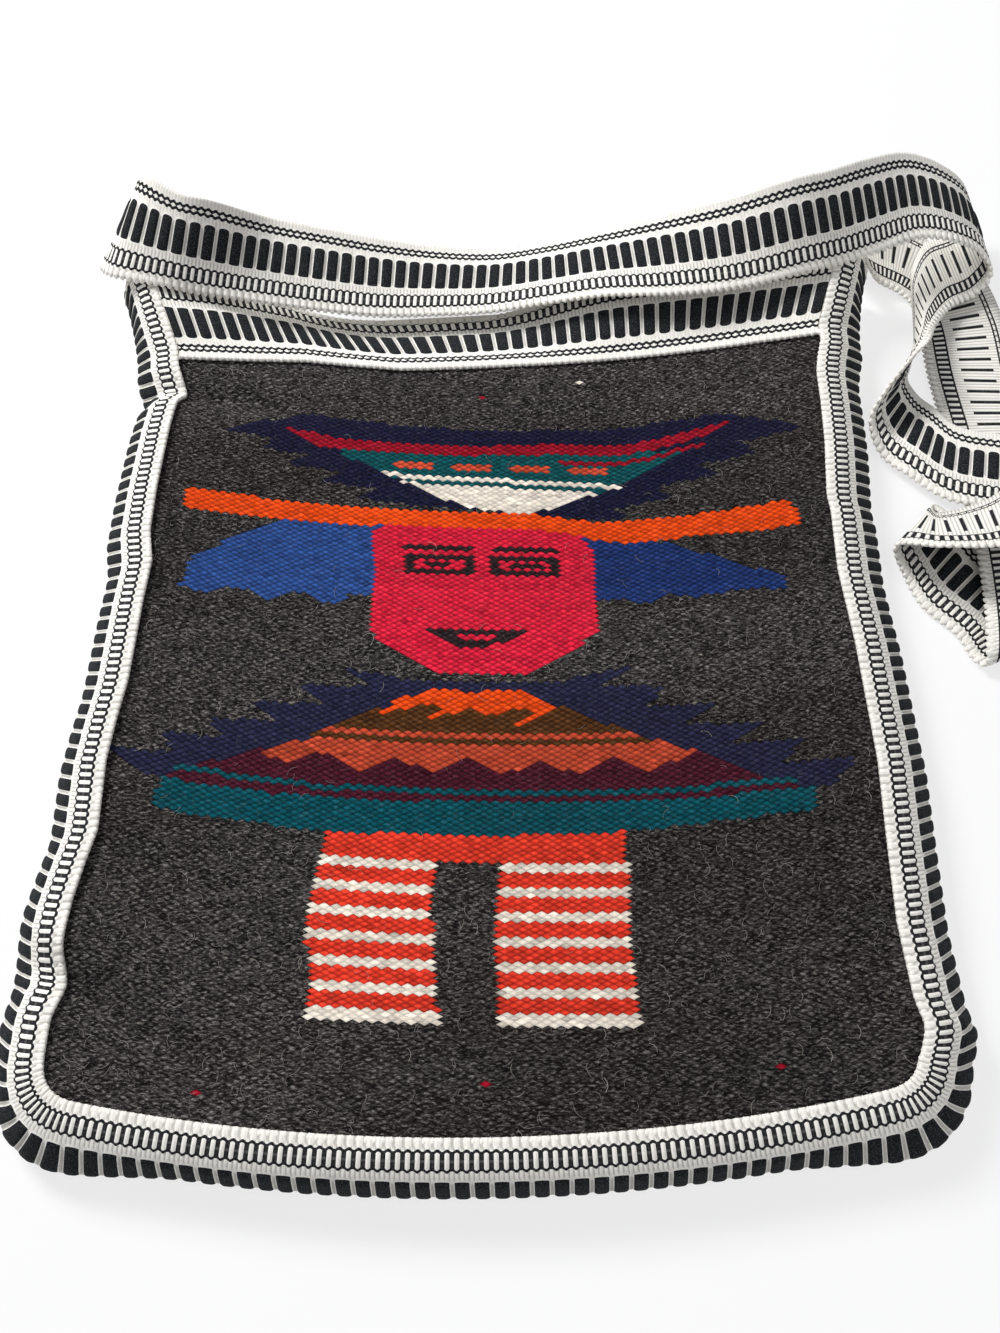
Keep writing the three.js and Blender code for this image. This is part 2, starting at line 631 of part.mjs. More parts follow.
// Past the right corner the strap turns under, twists and lies in two open folds beside the bag
const rightStops = [
  { at: [18.5, -4.6, 33], to: [-8.8, 25.8, 26.5] },
  { at: [36, 2.6, 33], to: [-8.1, 29.2, 22.9] },
  { at: [53, 9.5, 33], to: [-4.5, 33, 15] },
  { at: [70, 11, 29], to: [-3, 34, 9] },
  { at: [84, 11, 21], to: [-3, 34, 5] },
  { at: [89, 6, 14.5], to: [-3, 35, 0] },
  { at: [83, 0, 8.8], to: [-4, 36, 0] },
  { at: [70, -8, 9.5], to: [-5, 36, 0] },
  { at: [58, -24, 15], to: [-1, 35, -6] },
  { at: [50, -40, 22], to: [5, 30, -16] },
  { at: [43, -50, 25.5], to: [10, 25, -22] },
  { at: [30, -64, 18], to: [19, 28, -16] },
  { at: [25, -72, 10.5], to: [21, 28, -8.5] },
  { at: [29, -85, 4.5], to: [19, 29, -1.5] },
  { at: [38, -96, 5], to: [15, 31, 0] },
  { at: [52, -109, 5.5], to: [10, 36, 0] },
  { at: [75, -116, 6.5], to: [8, 37, 0] },
  { at: [88, -121, 8.5], to: [7.8, 36.7, 0] },
  { at: [97, -127, 15.5], to: [7.5, 36.5, 0] },
  { at: [92, -133, 22.5], to: [7, 36, -3] },
  { at: [78, -138, 26.5], to: [6, 33, -9.5] },
  { at: [60, -147, 28], to: [5, 30, -16] },
  { at: [38, -146, 26], to: [8, 28, -20] },
  { at: [24.5, -137, 13], to: [21.5, 26, -11] },
  { at: [30, -146, 3], to: [23, 27, -1] },
  { at: [35, -158, 1.6], to: [27, 27, -0.3] },
  { at: [46, -171, 1.4], to: [28, 26, 0] },
  { at: [50, -182, 2.2], to: [36, 17, 0] },
  { at: [52.5, -186, 4.8], to: [38, 14, 0], wide: 40.5 },
  { at: [53.5, -183, 7.6], to: [38, 12, -0.2] },
  { at: [55, -175, 8.2], to: [38, 10, -0.5] },
  { at: [58, -153, 6.6], to: [38, 6, -1] },
  { at: [60, -125, 4.6], to: [38, 2, -1.5] },
  { at: [60, -99, 2.2], to: [38, 1, 0] },
  { at: [58.5, -73, 2.1], to: [38, 0, 0] },
  { at: [57, -41, 2.1], to: [38, -2, 0] },
  { at: [57.5, -15, 2.2], to: [37, 6, 0] },
  { at: [56, 1, 2.6], to: [31, 20, 0] },
  { at: [51, 7, 3.6], to: [15, 33, -1] },
  { at: [40, 9, 8], to: [2, 36, 1] },
  { at: [32, 10, 15], to: [-6, 29, -6], wide: 32 },
  { at: [24, 8, 22], to: [-4, 12, -12], wide: 20 },
  { at: [18.4, 0.4, 26.3], to: [4.1, 0, -12.6], wide: 12.6 },
];

function strapEdges() {
  const beside = (side) => ({ at: [x, y, z] }) => vec(side * HALF_WIDTH + x, MOUTH + y, z);
  const across = ({ at: [share, y, lift] }) =>
    vec(share * HALF_WIDTH, MOUTH + y, mouthHeight(share * HALF_WIDTH) + lift);
  const stops = [...leftStops, ...runStops, ...rightStops];
  const ladder = [...leftStops.map(beside(-1)), ...runStops.map(across), ...rightStops.map(beside(1))];
  const chain = ladder.map((p, i) =>
    p.clone().add(vec(...stops[i].to).setLength(stops[i].wide ?? BAND_WIDTH)));
  const curve = (points) => new THREE.CatmullRomCurve3(points, false, 'centripetal');
  return { ladder, chain, ladderCurve: curve(ladder), chainCurve: curve(chain) };
}

function strapStations() {
  const { ladder, chain, ladderCurve, chainCurve } = strapEdges();
  const cross = [];
  const last = ladder.length - 1;
  for (let i = 0; i < last; i += 1) {
    const middle = (k) => ladder[k].clone().add(chain[k]).multiplyScalar(0.5);
    const steps = Math.max(1, Math.round(middle(i).distanceTo(middle(i + 1)) / (2 * BLOCK_PITCH)));
    for (let s = 0; s < steps; s += 1) cross.push((i + s / steps) / last);
  }
  cross.push(1);
  const edges = cross.map((t) => [chainCurve.getPoint(t), ladderCurve.getPoint(t)]);
  const centre = edges.map(([a, b]) => a.clone().add(b).multiplyScalar(0.5));
  const marks = [0, BLOCK_FROM / BAND_WIDTH, (BLOCK_FROM + BLOCK_SPAN) / BAND_WIDTH, 1];
  return edges.map(([a, b], i) => {
    const along = centre[Math.min(i + 1, centre.length - 1)].clone().sub(centre[Math.max(i - 1, 0)]);
    const up = b.clone().sub(a).cross(along).normalize();
    return { points: marks.map((m) => a.clone().lerp(b, m)), ups: marks.map(() => up.clone()) };
  });
}

function shoulderStrap() {
  const stations = strapStations();
  add('shoulder_strap', bandBody(stations, -BAND / 2, BAND / 2), cotton);
  const flat = stations.slice(GATHERED, -GATHERED);
  const stripe = flat.map(({ points, ups }) => ({ points: points.slice(1, 3), ups: ups.slice(1, 3) }));
  add('strap_blocks', bandBody(stripe, BAND / 2 + GAP, BAND / 2 + GAP + BLOCK), blackYarn);
}

frontPanel();
backPanel();
frontMouthBand();
backMouthBand();
gusset();
shoulderStrap();

export default bag;
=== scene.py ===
# %% [markdown]
# A woven crossbody bag lies on its back with the mouth away from us. Its front is a charcoal wool
# tapestry with a woven figure, and one black and white cotton band makes the mouth edging, the gusset
# round the sides and bottom, and the long strap. The imported solids give every place and size, so the
# first step is to load them, each with its placement applied to its points.

import math

import bpy
import numpy as np
from mathutils import Matrix, Vector


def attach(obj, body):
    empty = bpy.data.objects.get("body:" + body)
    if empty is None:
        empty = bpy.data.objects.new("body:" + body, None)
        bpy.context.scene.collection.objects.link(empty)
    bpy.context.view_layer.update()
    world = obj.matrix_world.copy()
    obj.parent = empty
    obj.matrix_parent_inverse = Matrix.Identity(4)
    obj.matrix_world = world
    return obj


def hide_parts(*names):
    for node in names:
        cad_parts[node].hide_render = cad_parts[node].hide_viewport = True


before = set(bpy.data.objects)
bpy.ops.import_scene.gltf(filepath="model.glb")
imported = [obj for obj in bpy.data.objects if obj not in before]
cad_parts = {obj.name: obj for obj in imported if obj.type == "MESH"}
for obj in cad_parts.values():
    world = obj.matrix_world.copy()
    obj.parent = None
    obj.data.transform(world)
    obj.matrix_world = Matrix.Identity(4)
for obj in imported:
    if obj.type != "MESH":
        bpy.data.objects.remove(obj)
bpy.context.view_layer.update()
MM = 0.001
print("nodes in the frame:", len(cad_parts))

# %% [markdown]
# The camera stands in front of the bag and looks steeply down. Its place was worked out from the bag's
# corners and weft lines, so it is set by a point, three angles and a focal length in picture pixels.

# %% Camera
PICTURE_HEIGHT = 1333
FOCAL_PIXELS = 1300
SENSOR = 36
CLIP_START = 0.01
CAMERA_AT = Vector((7.0, -231.2, 436.8)) * MM
PITCH, YAW, ROLL = math.radians(61.04), math.radians(-0.69), math.radians(-1.58)


def add_object(name, data):
    made = bpy.data.objects.new(name, data)
    bpy.context.collection.objects.link(made)
    return made


lens = bpy.data.cameras.new("camera")
lens.sensor_fit = "VERTICAL"
lens.sensor_height = SENSOR
lens.lens = FOCAL_PIXELS / PICTURE_HEIGHT * SENSOR
lens.clip_start = CLIP_START
camera = add_object("camera", lens)
turn = Matrix.Rotation(-YAW, 4, "Z") @ Matrix.Rotation(math.pi / 2 - PITCH, 4, "X")
camera.matrix_world = Matrix.Translation(CAMERA_AT) @ turn @ Matrix.Rotation(ROLL, 4, "Z")
bpy.context.scene.camera = camera
print("camera at", [round(v, 3) for v in CAMERA_AT])

# %% [markdown]
# Shader maths reads best as plain expressions. Value wraps a socket, so that sums and products of it add
# Math nodes. Nodes wraps a node tree, with the one method that adds any other node, and Finish is the tree
# of one material.

# %% Node helpers


class Value:
    """A number or a colour that changes over a surface."""

    def __init__(self, finish, socket):
        self.finish = finish
        self.socket = socket

    def math(self, operation, first, second):
        made = self.finish.node("ShaderNodeMath", {0: first, 1: second}, operation=operation)
        return Value(self.finish, made.outputs[0])

    def __add__(self, other):
        return self.math("ADD", self, other)

    __radd__ = __add__

    def __mul__(self, other):
        return self.math("MULTIPLY", self, other)

    __rmul__ = __mul__

    def __sub__(self, other):
        return self.math("SUBTRACT", self, other)

    def __rsub__(self, other):
        return self.math("SUBTRACT", other, self)


class Nodes:
    """A node tree."""

    def __init__(self, tree):
        self.tree = tree

    def node(self, kind, sockets=None, **settings):
        """Adds a node. A node that is given for a socket stands for its first output."""
        made = self.tree.nodes.new(kind)
        for key, value in settings.items():
            setattr(made, key, value)
        for key, value in (sockets or {}).items():
            if isinstance(value, Value):
                value = value.socket
            if isinstance(value, bpy.types.Node):
                value = value.outputs[0]
            if isinstance(value, bpy.types.NodeSocket):
                self.tree.links.new(value, made.inputs[key])
            else:
                made.inputs[key].default_value = value
        return made


class Finish(Nodes):
    """One material, with the steps that its maker needs."""

    def __init__(self, name):
        self.material = bpy.data.materials.new(name)
        self.material.use_nodes = True
        super().__init__(self.material.node_tree)
        self.tree.nodes.clear()

    def value(self, made, output=0):
        return Value(self, made.outputs[output])

    def attribute(self, name, output="Fac"):
        return self.value(self.node("ShaderNodeAttribute", attribute_name=name), output)

    def place(self, scale=(1.0, 1.0, 1.0)):
        at = self.node("ShaderNodeTexCoord").outputs["Object"]
        return self.node("ShaderNodeMapping", {"Vector": at, "Scale": scale})

    def noise(self, place, scale, detail, roughness=0.5):
        sockets = {"Vector": place, "Scale": scale, "Detail": detail, "Roughness": roughness}
        return self.value(self.node("ShaderNodeTexNoise", sockets))

    def ramp(self, value, low, high):
        sockets = {"Value": value, "From Min": low, "From Max": high}
        return self.value(self.node("ShaderNodeMapRange", sockets, interpolation_type="SMOOTHSTEP"))

    def brightness(self, colour):
        return self.value(self.node("ShaderNodeRGBToBW", {"Color": colour}))

    def blend(self, factor, first, second, how="MIX"):
        sockets = {0: factor, 6: first, 7: second}
        return self.node("ShaderNodeMix", sockets, data_type="RGBA", blend_type=how).outputs[2]

    def surface(self, shader):
        self.node("ShaderNodeOutputMaterial", {"Surface": shader})
        return self.material

    def cloth(self, tone, fuzz, strength, distance, roughness, specular, sheen_roughness):
        raised = self.node("ShaderNodeBump", {"Strength": strength, "Distance": distance, "Height": fuzz})
        return self.surface(self.node("ShaderNodeBsdfPrincipled", {
            "Base Color": tone, "Roughness": roughness, "Normal": raised, "Specular IOR Level": specular,
            "Sheen Weight": SHEEN, "Sheen Roughness": sheen_roughness}))


def linear(red, green, blue):
    """A colour as it is named on screen, in the linear values that shaders use."""
    channels = [c / 255 for c in (red, green, blue)]
    return tuple(c / 12.92 if c <= 0.04045 else ((c + 0.055) / 1.055) ** 2.4 for c in channels) + (1.0,)


print("node helpers ready")

# %% [markdown]
# The bag lies on a plain white table. The floor answers light rays as a matt sheet, and camera rays see
# part of it as plain white, so the background is white and the bag still drops a soft shadow. Past the
# floor the camera sees a pale backdrop instead of the sky that lights the bag.

# %% Floor and light
FLOOR_HALF = 3.0
FLOOR_TONE = (0.9, 0.9, 0.9, 1)
WHITE_SHARE = 0.72
SKY_TONE = (0.95, 0.97, 1.0, 1)
SKY_STRENGTH = 0.31
BACKDROP_TONE = (0.8, 0.8, 0.8, 1)

white = Finish("white_table")
rays = white.node("ShaderNodeLightPath")
seen = white.value(rays, "Is Camera Ray") + white.value(rays, "Is Glossy Ray")
seen = seen + white.value(rays, "Is Transmission Ray")
matt = white.node("ShaderNodeBsdfDiffuse", {"Color": FLOOR_TONE})
glow = white.node("ShaderNodeEmission")
white.surface(white.node("ShaderNodeMixShader", {0: seen * WHITE_SHARE, 1: matt, 2: glow}))

floor_mesh = bpy.data.meshes.new("floor")
corners = [(x * FLOOR_HALF, y * FLOOR_HALF, 0) for x, y in ((-1, -1), (1, -1), (1, 1), (-1, 1))]
floor_mesh.from_pydata(corners, [], [(0, 1, 2, 3)])
floor_mesh.materials.append(white.material)
floor = add_object("floor", floor_mesh)

world = bpy.data.worlds.new("studio")
world.use_nodes = True
sky = Nodes(world.node_tree)
sky.tree.nodes.clear()
light = sky.node("ShaderNodeBackground", {"Color": SKY_TONE, "Strength": SKY_STRENGTH})
backdrop = sky.node("ShaderNodeBackground", {"Color": BACKDROP_TONE})
seen_first = sky.node("ShaderNodeLightPath").outputs["Is Camera Ray"]
shown = sky.node("ShaderNodeMixShader", {0: seen_first, 1: light, 2: backdrop})
sky.node("ShaderNodeOutputWorld", {"Surface": shown})
bpy.context.scene.world = world
bpy.context.scene.view_settings.view_transform = "Standard"


def soft_lamp(name, place, size, power):
    data = bpy.data.lights.new(name, "AREA")
    data.size = size
    data.energy = power
    lamp = add_object(name, data)
    lamp.location = place
    lamp.rotation_euler = (-Vector(place)).to_track_quat("-Z", "Y").to_euler()


soft_lamp("window", place=(-0.8, 0.8, 1.1), size=0.5, power=25)
soft_lamp("fill", place=(0.9, -0.6, 1.4), size=1.2, power=5)

# %% [markdown]
# Two finishes cover the whole bag. The wool takes each bead's colour from an attribute called thread and
# mixes in paler and darker hairs, strongest in the undyed charcoal, and paints shade in broad random patches
# and in the gaps between beads. The cotton is smoother: its thread colours come from the band's draft, soil
# shows on the white threads, pale lint on the black ones, and shade is painted in the grooves between ribs.

# %% Wool and cotton
PALE_HAIR = linear(168, 163, 158)
DARK_HAIR = linear(14, 13, 14)
BROWN_HAIR = linear(70, 58, 50)
PATCH_SHADE = (0.62, 0.62, 0.62, 1)
# A dark grey that the gaps between beads are painted with, as shade.
PAINTED_GAP_SHADE = (0.16, 0.16, 0.16, 1)
SOIL = linear(176, 162, 138)
LINT = linear(104, 105, 108)
# A dark brown-grey that the grooves between the band's ribs are painted with, as shade.
PAINTED_RIB_SHADE = linear(70, 66, 62)
SHEEN = 0.03
ALONG_WEFT = (0.35, 1.0, 1.0)

# How much of each shows. The dyed share is there on all wool, and undyed wool adds the other.
PALE_SHARE = 0.6
BROWN_SHARE = 0.35
DARK_DYED, DARK_UNDYED = 0.16, 0.7
PATCH_SHADE_DYED, PATCH_SHADE_UNDYED = 0.2, 0.6
GAP_SHADE_SHARE, GAP_SHADE_LESS_ON_BRIGHT = 0.85, 0.6
SOIL_SHARE = 0.08
LINT_SHARE = 0.42
RIB_SHADE_SHARE = 0.42


def wool_finish():
    wool = Finish("tapestry_wool")
    at = wool.place(ALONG_WEFT)
    yarn = wool.attribute("thread", "Color")
    heather = wool.attribute("heather")
    hairs = wool.noise(at, scale=1500, detail=3.0, roughness=0.7)
    pale = wool.ramp(hairs, low=0.51, high=0.66) * heather
    dark = wool.ramp(1 - hairs, low=0.47, high=0.62) * (heather * DARK_UNDYED + DARK_DYED)
    brown = wool.ramp(wool.noise(at, scale=30, detail=2.0), low=0.4, high=0.7) * heather
    # Painted shade: broad random patches darken the wool, most on the undyed charcoal, standing in for the
    # uneven light across the front.
    shade_patches = wool.ramp(wool.noise(at, scale=14, detail=1.0), low=0.38, high=0.62)
    # Painted shade: where the depth is high, in the gaps between beads, the colour is darkened towards a dark
    # grey, less on bright yarn.
    gap = wool.ramp(wool.attribute("depth"), low=0.2, high=1.0)
    tone = wool.blend(brown * BROWN_SHARE, yarn, BROWN_HAIR)
    tone = wool.blend(dark, tone, DARK_HAIR)
    tone = wool.blend(pale * PALE_SHARE, tone, PALE_HAIR)
    tone = wool.blend(shade_patches * (heather * PATCH_SHADE_UNDYED + PATCH_SHADE_DYED), tone, PATCH_SHADE, "MULTIPLY")
    gap = gap * (1 - wool.brightness(yarn) * GAP_SHADE_LESS_ON_BRIGHT) * GAP_SHADE_SHARE
    tone = wool.blend(gap, tone, PAINTED_GAP_SHADE, "MULTIPLY")
    fuzz = wool.noise(at, scale=2600, detail=4.0, roughness=0.7)
    return wool.cloth(tone, fuzz, strength=0.5, distance=0.0004, roughness=0.95, specular=0.04,
                      sheen_roughness=0.5)


def cotton_finish(name, colour=None):
    cotton = Finish(name)
    at = cotton.place()
    shade = colour or cotton.attribute("thread", "Color")
    bright = cotton.brightness(shade)
    soil = cotton.ramp(cotton.noise(at, scale=130, detail=3.0), low=0.4, high=0.75)
    lint = cotton.ramp(cotton.noise(at, scale=1900, detail=3.0, roughness=0.7), low=0.48, high=0.68)
    # Painted shade: where the depth is high, in the grooves between ribs and between the blocks, the colour
    # is darkened towards a dark brown-grey.
    between = cotton.ramp(cotton.attribute("depth"), low=0.0, high=1.0)
    tone = cotton.blend(soil * bright * SOIL_SHARE, shade, SOIL)
    tone = cotton.blend(lint * (1 - bright) * LINT_SHARE, tone, LINT)
    tone = cotton.blend(between * RIB_SHADE_SHARE, tone, PAINTED_RIB_SHADE)
    fuzz = cotton.noise(at, scale=2400, detail=3.0, roughness=0.6)
    return cotton.cloth(tone, fuzz, strength=0.3, distance=0.0003, roughness=0.9, specular=0.07,
                        sheen_roughness=0.4)


COTTON_WHITE = linear(247, 244, 237)
COTTON_BLACK = linear(26, 28, 31)
COTTON_GREY = linear(84, 83, 82)
wool = wool_finish()
cotton = cotton_finish("band_cotton")
selvage_cotton = cotton_finish("selvage_cotton", COTTON_WHITE)
print("finishes:", wool.name, cotton.name, selvage_cotton.name)

# %% [markdown]
# All cloth here is a grid of points, so one helper turns a grid into a mesh. It stores each face's thread
# colour as an attribute, which survives where a picture would need unwrapping.

# %% Grid to mesh
ATTRIBUTE_FIELD = {"FLOAT": "value", "FLOAT_COLOR": "color", "FLOAT_VECTOR": "vector"}


def add_attribute(mesh, name, kind, domain, values):
    layer = mesh.attributes.new(name, kind, domain)
    layer.data.foreach_set(ATTRIBUTE_FIELD[kind], np.ascontiguousarray(values, dtype=np.float32).ravel())


def cloth_object(name, points, faces, thread, depth, finish, heather=None):
    """A mesh object from points in millimetres, faces, a thread colour for each face and a depth for each
    point: nought on top of a thread and one down in the gap beside it, where the finishes paint shade."""
    mesh = bpy.data.meshes.new(name)
    mesh.from_pydata((points * MM).tolist(), [], faces)
    add_attribute(mesh, "thread", "FLOAT_COLOR", "FACE", thread)
    add_attribute(mesh, "depth", "FLOAT", "POINT", depth)
    if heather is not None:
        add_attribute(mesh, "heather", "FLOAT", "FACE", heather)
    mesh.polygons.foreach_set("use_smooth", np.ones(len(mesh.polygons), dtype=bool))
    mesh.materials.append(finish)
    mesh.update()
    mesh.calc_loop_triangles()
    print(f"{name}: {len(mesh.vertices)} points, {len(mesh.loop_triangles)} triangles")
    return add_object(name, mesh)


def smooth_step(value, low, high):
    share = np.clip((value - low) / (high - low), 0, 1)
    return share * share * (3 - 2 * share)


def bump(value, middle, reach):
    """One where value is at the middle, falling off smoothly over the reach."""
    return np.exp(-((value - middle) / reach) ** 2)


def read_off(value, line):
    """The amount at a place, from a line of (place, amount) pairs."""
    places, amounts = zip(*line)
    return np.interp(value, places, amounts)


def unit(vectors):
    return vectors / np.linalg.norm(vectors, axis=-1, keepdims=True)


def even_places(line, step):
    """How far along a line each of its points is, and places an even step apart."""
    run = np.concatenate([[0], np.cumsum(np.linalg.norm(np.diff(line, axis=0), axis=1))])
    return run, np.linspace(0, run[-1], int(round(run[-1] / step)) + 1)


print("cloth helpers ready")

# %% [markdown]
# The front sags between its side seams, and its mouth edge hangs in the middle and rises to both ends. The
# bag lies a little askew: its sides wander, and shallow creases run in. Every sewn piece goes through the
# same height and the same lie, so seams stay together.

# %% How the bag lies
HALF_WIDTH = 135
PANEL_TOP = 157
CORNER_Y = -154
CORNER_RUN = 15
BOTTOM_BOW = 14
BOTTOM = CORNER_Y - BOTTOM_BOW
SEAM_HEIGHT = 22
SAG = 11
BOTTOM_SAG = 0.1
SAG_RUN = 60
BAND_WIDTH = 38
BAND = 1.6
GAP = 0.3
MOUTH_LAP = 4
FREE = BAND_WIDTH - MOUTH_LAP
MOUTH = PANEL_TOP + FREE
MOUTH_RISE = 10
MOUTH_HANG = 10
MOUTH_FLARE = 10
RISE_LEFT = (0.33, 0.95)
RISE_RIGHT = (-0.04, 0.44)

# Where each side seam lies beside the straight one: place along the side, then distance to the right.
LEFT_SIDE = [(-127, -9.3), (-115, -7.6), (-105, -9), (-88, -8), (-74, -5.4), (-63, -2.9), (-37, -3.6),
             (-21, -2.1), (-5, 0.1), (29, 1.4), (47, 2.7), (61, 0.3), (82, 0.5), (113, 2.3), (128, 3.9),
             (135, 6.5), (150, 2), (191, -1)]
RIGHT_SIDE = [(-144, 2.1), (-134, 5.5), (-125, 3.2), (-100, 1.8), (-72, 2.9), (-42, 4.4), (6, 3.4),
              (37, 1.4), (64, 2.5), (72, 1.9), (99, 4.7), (119, 5.8), (133, 6.1), (141, 7.8), (149, 10.1),
              (191, 11)]
# Where the lower edge of the mouth band lies: place across the bag, then distance towards the mouth.
TOP_EDGE = [(-131, -4), (-79, -1), (-40, -3.5), (6, -0.9), (57, 0.9), (108, 3), (141, 3.4)]
TOP_EDGE_FADE = (100, 153)
# Where the mouth is drawn to the left: distance, place across the bag, reach.
MOUTH_PULLS = [(11, -55, 45), (5.5, 60, 40)]
# Shallow forms in the front: height, reach, a point each runs through, the direction across it, and where
# it fades in to the left, upwards and downwards. A crease at the left, a valley, a fold and its ridge.
EVERYWHERE = (-1000, -999)
FORMS = [(-5, 6, (-125, 135), (0.22, 1), (60, 120), EVERYWHERE, EVERYWHERE),
         (-2.2, 20, (45, 80), (1, -0.1), EVERYWHERE, (10, 60), (-150, -110)),
         (-6, 9, (-112, -126), (0.6, 1), (60, 100), EVERYWHERE, (85, 115)),
         (2.5, 9, (-112, -109), (0.6, 1), (60, 100), EVERYWHERE, (85, 115))]
WAVE, WAVE_X, WAVE_Y = 1.8, 90, 38
CLEAR_OF_FLOOR = (0, 12)


def panel_height(x, y):
    share = BOTTOM_SAG + (1 - BOTTOM_SAG) * smooth_step(y, BOTTOM, BOTTOM + SAG_RUN)
    return SEAM_HEIGHT - SAG * share * (1 - np.minimum(1, (x / HALF_WIDTH) ** 2))


def mouth_lift(x):
    """How far the mouth edge stands above the upper edge of the panel."""
    share = x / HALF_WIDTH
    risen = smooth_step(-share, *RISE_LEFT) + smooth_step(share, *RISE_RIGHT)
    return -MOUTH_HANG + (MOUTH_HANG + MOUTH_RISE) * risen


def flare(y):
    return MOUTH_FLARE * np.clip((y - PANEL_TOP) / FREE, 0, 1)


def lie(points):
    x, y, z = points[..., 0], points[..., 1], points[..., 2]
    side = x / HALF_WIDTH
    to_left = smooth_step(-side, -1, 1)
    past_seam = np.clip((y - MOUTH + BAND_WIDTH) / BAND_WIDTH, 0, 1)
    aside = read_off(y, LEFT_SIDE) * to_left + read_off(y, RIGHT_SIDE) * (1 - to_left)
    aside -= past_seam * sum(far * bump(x, place, reach) for far, place, reach in MOUTH_PULLS)
    lift = WAVE * np.sin(y / WAVE_Y + x / WAVE_X) * np.clip(1 - side * side, 0, 1)
    for height, reach, (form_x, form_y), (across_x, across_y), left, upward, downward in FORMS:
        beside = across_x * (x - form_x) + across_y * (y - form_y)
        fade = smooth_step(-x, *left) * smooth_step(y, *upward) * smooth_step(-y, *downward)
        lift = lift + height * bump(beside, 0, reach) * fade
    moved = points.copy()
    moved[..., 0] += aside
    moved[..., 1] += read_off(x, TOP_EDGE) * smooth_step(y, *TOP_EDGE_FADE)
    moved[..., 2] += lift * smooth_step(z, *CLEAR_OF_FLOOR)
    return moved


print("mouth edge at", MOUTH, "mm")

# %% [markdown]
# The figure is drawn with the weft lines level, as on the weaver's drawing, and is then bent the way the
# weft really runs: a little downhill to the right and lifted at both sides. Each coloured field is a
# plain outline, and a later field lies over an earlier one.

# %% Drawing of the figure
WEFT_LIFT = 5
WEFT_FALL = 5.5

CHARCOAL = linear(58, 55, 55)
NAVY = linear(24, 25, 54)
PONCHO_NAVY = linear(38, 40, 68)
TEAL = linear(6, 82, 94)
HAT_TEAL = linear(8, 82, 88)
CRIMSON = linear(158, 14, 38)
CORAL = linear(208, 78, 52)
CREAM = linear(230, 219, 205)
ORANGE = linear(240, 76, 16)
BLUE_LEFT = linear(46, 80, 146)
# The right hair's blue is a darker copy of the left's, which paints shade on the right side of the head.
SHADED_BLUE_RIGHT = linear(30, 54, 112)
FACE_RED = linear(224, 32, 62)
INK = linear(44, 32, 36)
OLIVE = linear(90, 54, 24)
RUST = linear(196, 74, 48)
BURGUNDY = linear(78, 24, 42)
LEG_RED = linear(232, 60, 40)


def box(left, right_side, low, high):
    return [(left, low), (right_side, low), (right_side, high), (left, high)]


def feathers(tip, step, notch, count):
    """Tips along a line, with a notch after each but the last."""
    points = []
    for i in range(count):
        at = (tip[0] + step[0] * i, tip[1] + step[1] * i)
        points.append(at)
        if i + 1 < count:
            points.append((at[0] + notch[0], at[1] + notch[1]))
    return points


hat = [
    (feathers((-110, 106.5), (14, -7.1), (22, -2), 5) + feathers((55, 71), (16.9, 9.5), (-7, 6), 5)
     + [(107, 117), (90, 121), (44, 118.5), (-3, 116.7), (-82, 120)], NAVY),
    ([(-62, 104), (-62, 99.5), (-34, 87.4), (44, 85), (75.5, 102.9), (60, 106)], HAT_TEAL),
    ([(-86, 111.4), (-71, 102.4), (-33, 102.2), (-4.7, 103.2), (30, 104.7), (49, 104.5), (62, 105.7),
      (81, 109.6), (98, 117), (84, 115), (68, 112), (49, 110), (24, 110), (-5, 108.2), (-61, 107.8)],
     CRIMSON),
    ([(26, 101.8), (58, 102), (84, 107.6), (84, 105.4), (58, 99.8), (26, 99.6)], CRIMSON),
]
DASHES, DASH_LEFT, DASH_WIDE, DASH_STEP = 4, -41, 16, 23.3
DASH_LOW, DASH_HIGH = 94.6, 98.6
for i in range(DASHES):
    at = DASH_LEFT + i * DASH_STEP
    hat.append((box(at, at + DASH_WIDE, DASH_LOW, DASH_HIGH), CORAL))
hat += [
    ([(-44, 92.2), (30, 90.4), (52, 89.6), (52, 87.4), (30, 88.2), (-42, 90)], CREAM),
    ([(-36, 87.8), (-9, 76), (16, 73.5), (43, 85.4), (30, 86)], CREAM),
]

head = [
    ([(-77, 67), (-116.5, 44), (-120, 28.6), (-110, 27.6), (-103, 31.6), (-94, 31.2), (-89, 27.5), (-84, 28),
      (-79, 32), (-71, 32.5), (-67, 28.6), (-60, 28.8), (-55, 32.8), (-38, 33), (-38, 67)], BLUE_LEFT),
    ([(30, 66), (30, 34), (52, 33), (56, 30.8), (62, 31.6), (66, 34.5), (77, 32.5), (90, 34),
      (112, 33.7), (111, 39), (69, 58), (50, 63)], SHADED_BLUE_RIGHT),
    ([(-41.5, 67), (-47, 60.5), (-47.2, 17.4), (-23, 2), (-17, 0.8), (9, 0.8), (15, 2), (39, 18),
      (39, 58.5), (33, 66)], FACE_RED),
    ([(-120, 74.6), (-121, 64.8), (-50, 65.6), (13, 66.4), (30, 64.5), (54, 59.6), (119.5, 61.6),
      (118, 74), (76, 70.6), (42, 71), (13, 74)], ORANGE),
]
EYE_WIDTH, EYE_SIDE = 27.6, 3.8
LINE = 2.2
PUPIL_HALF = 0.9
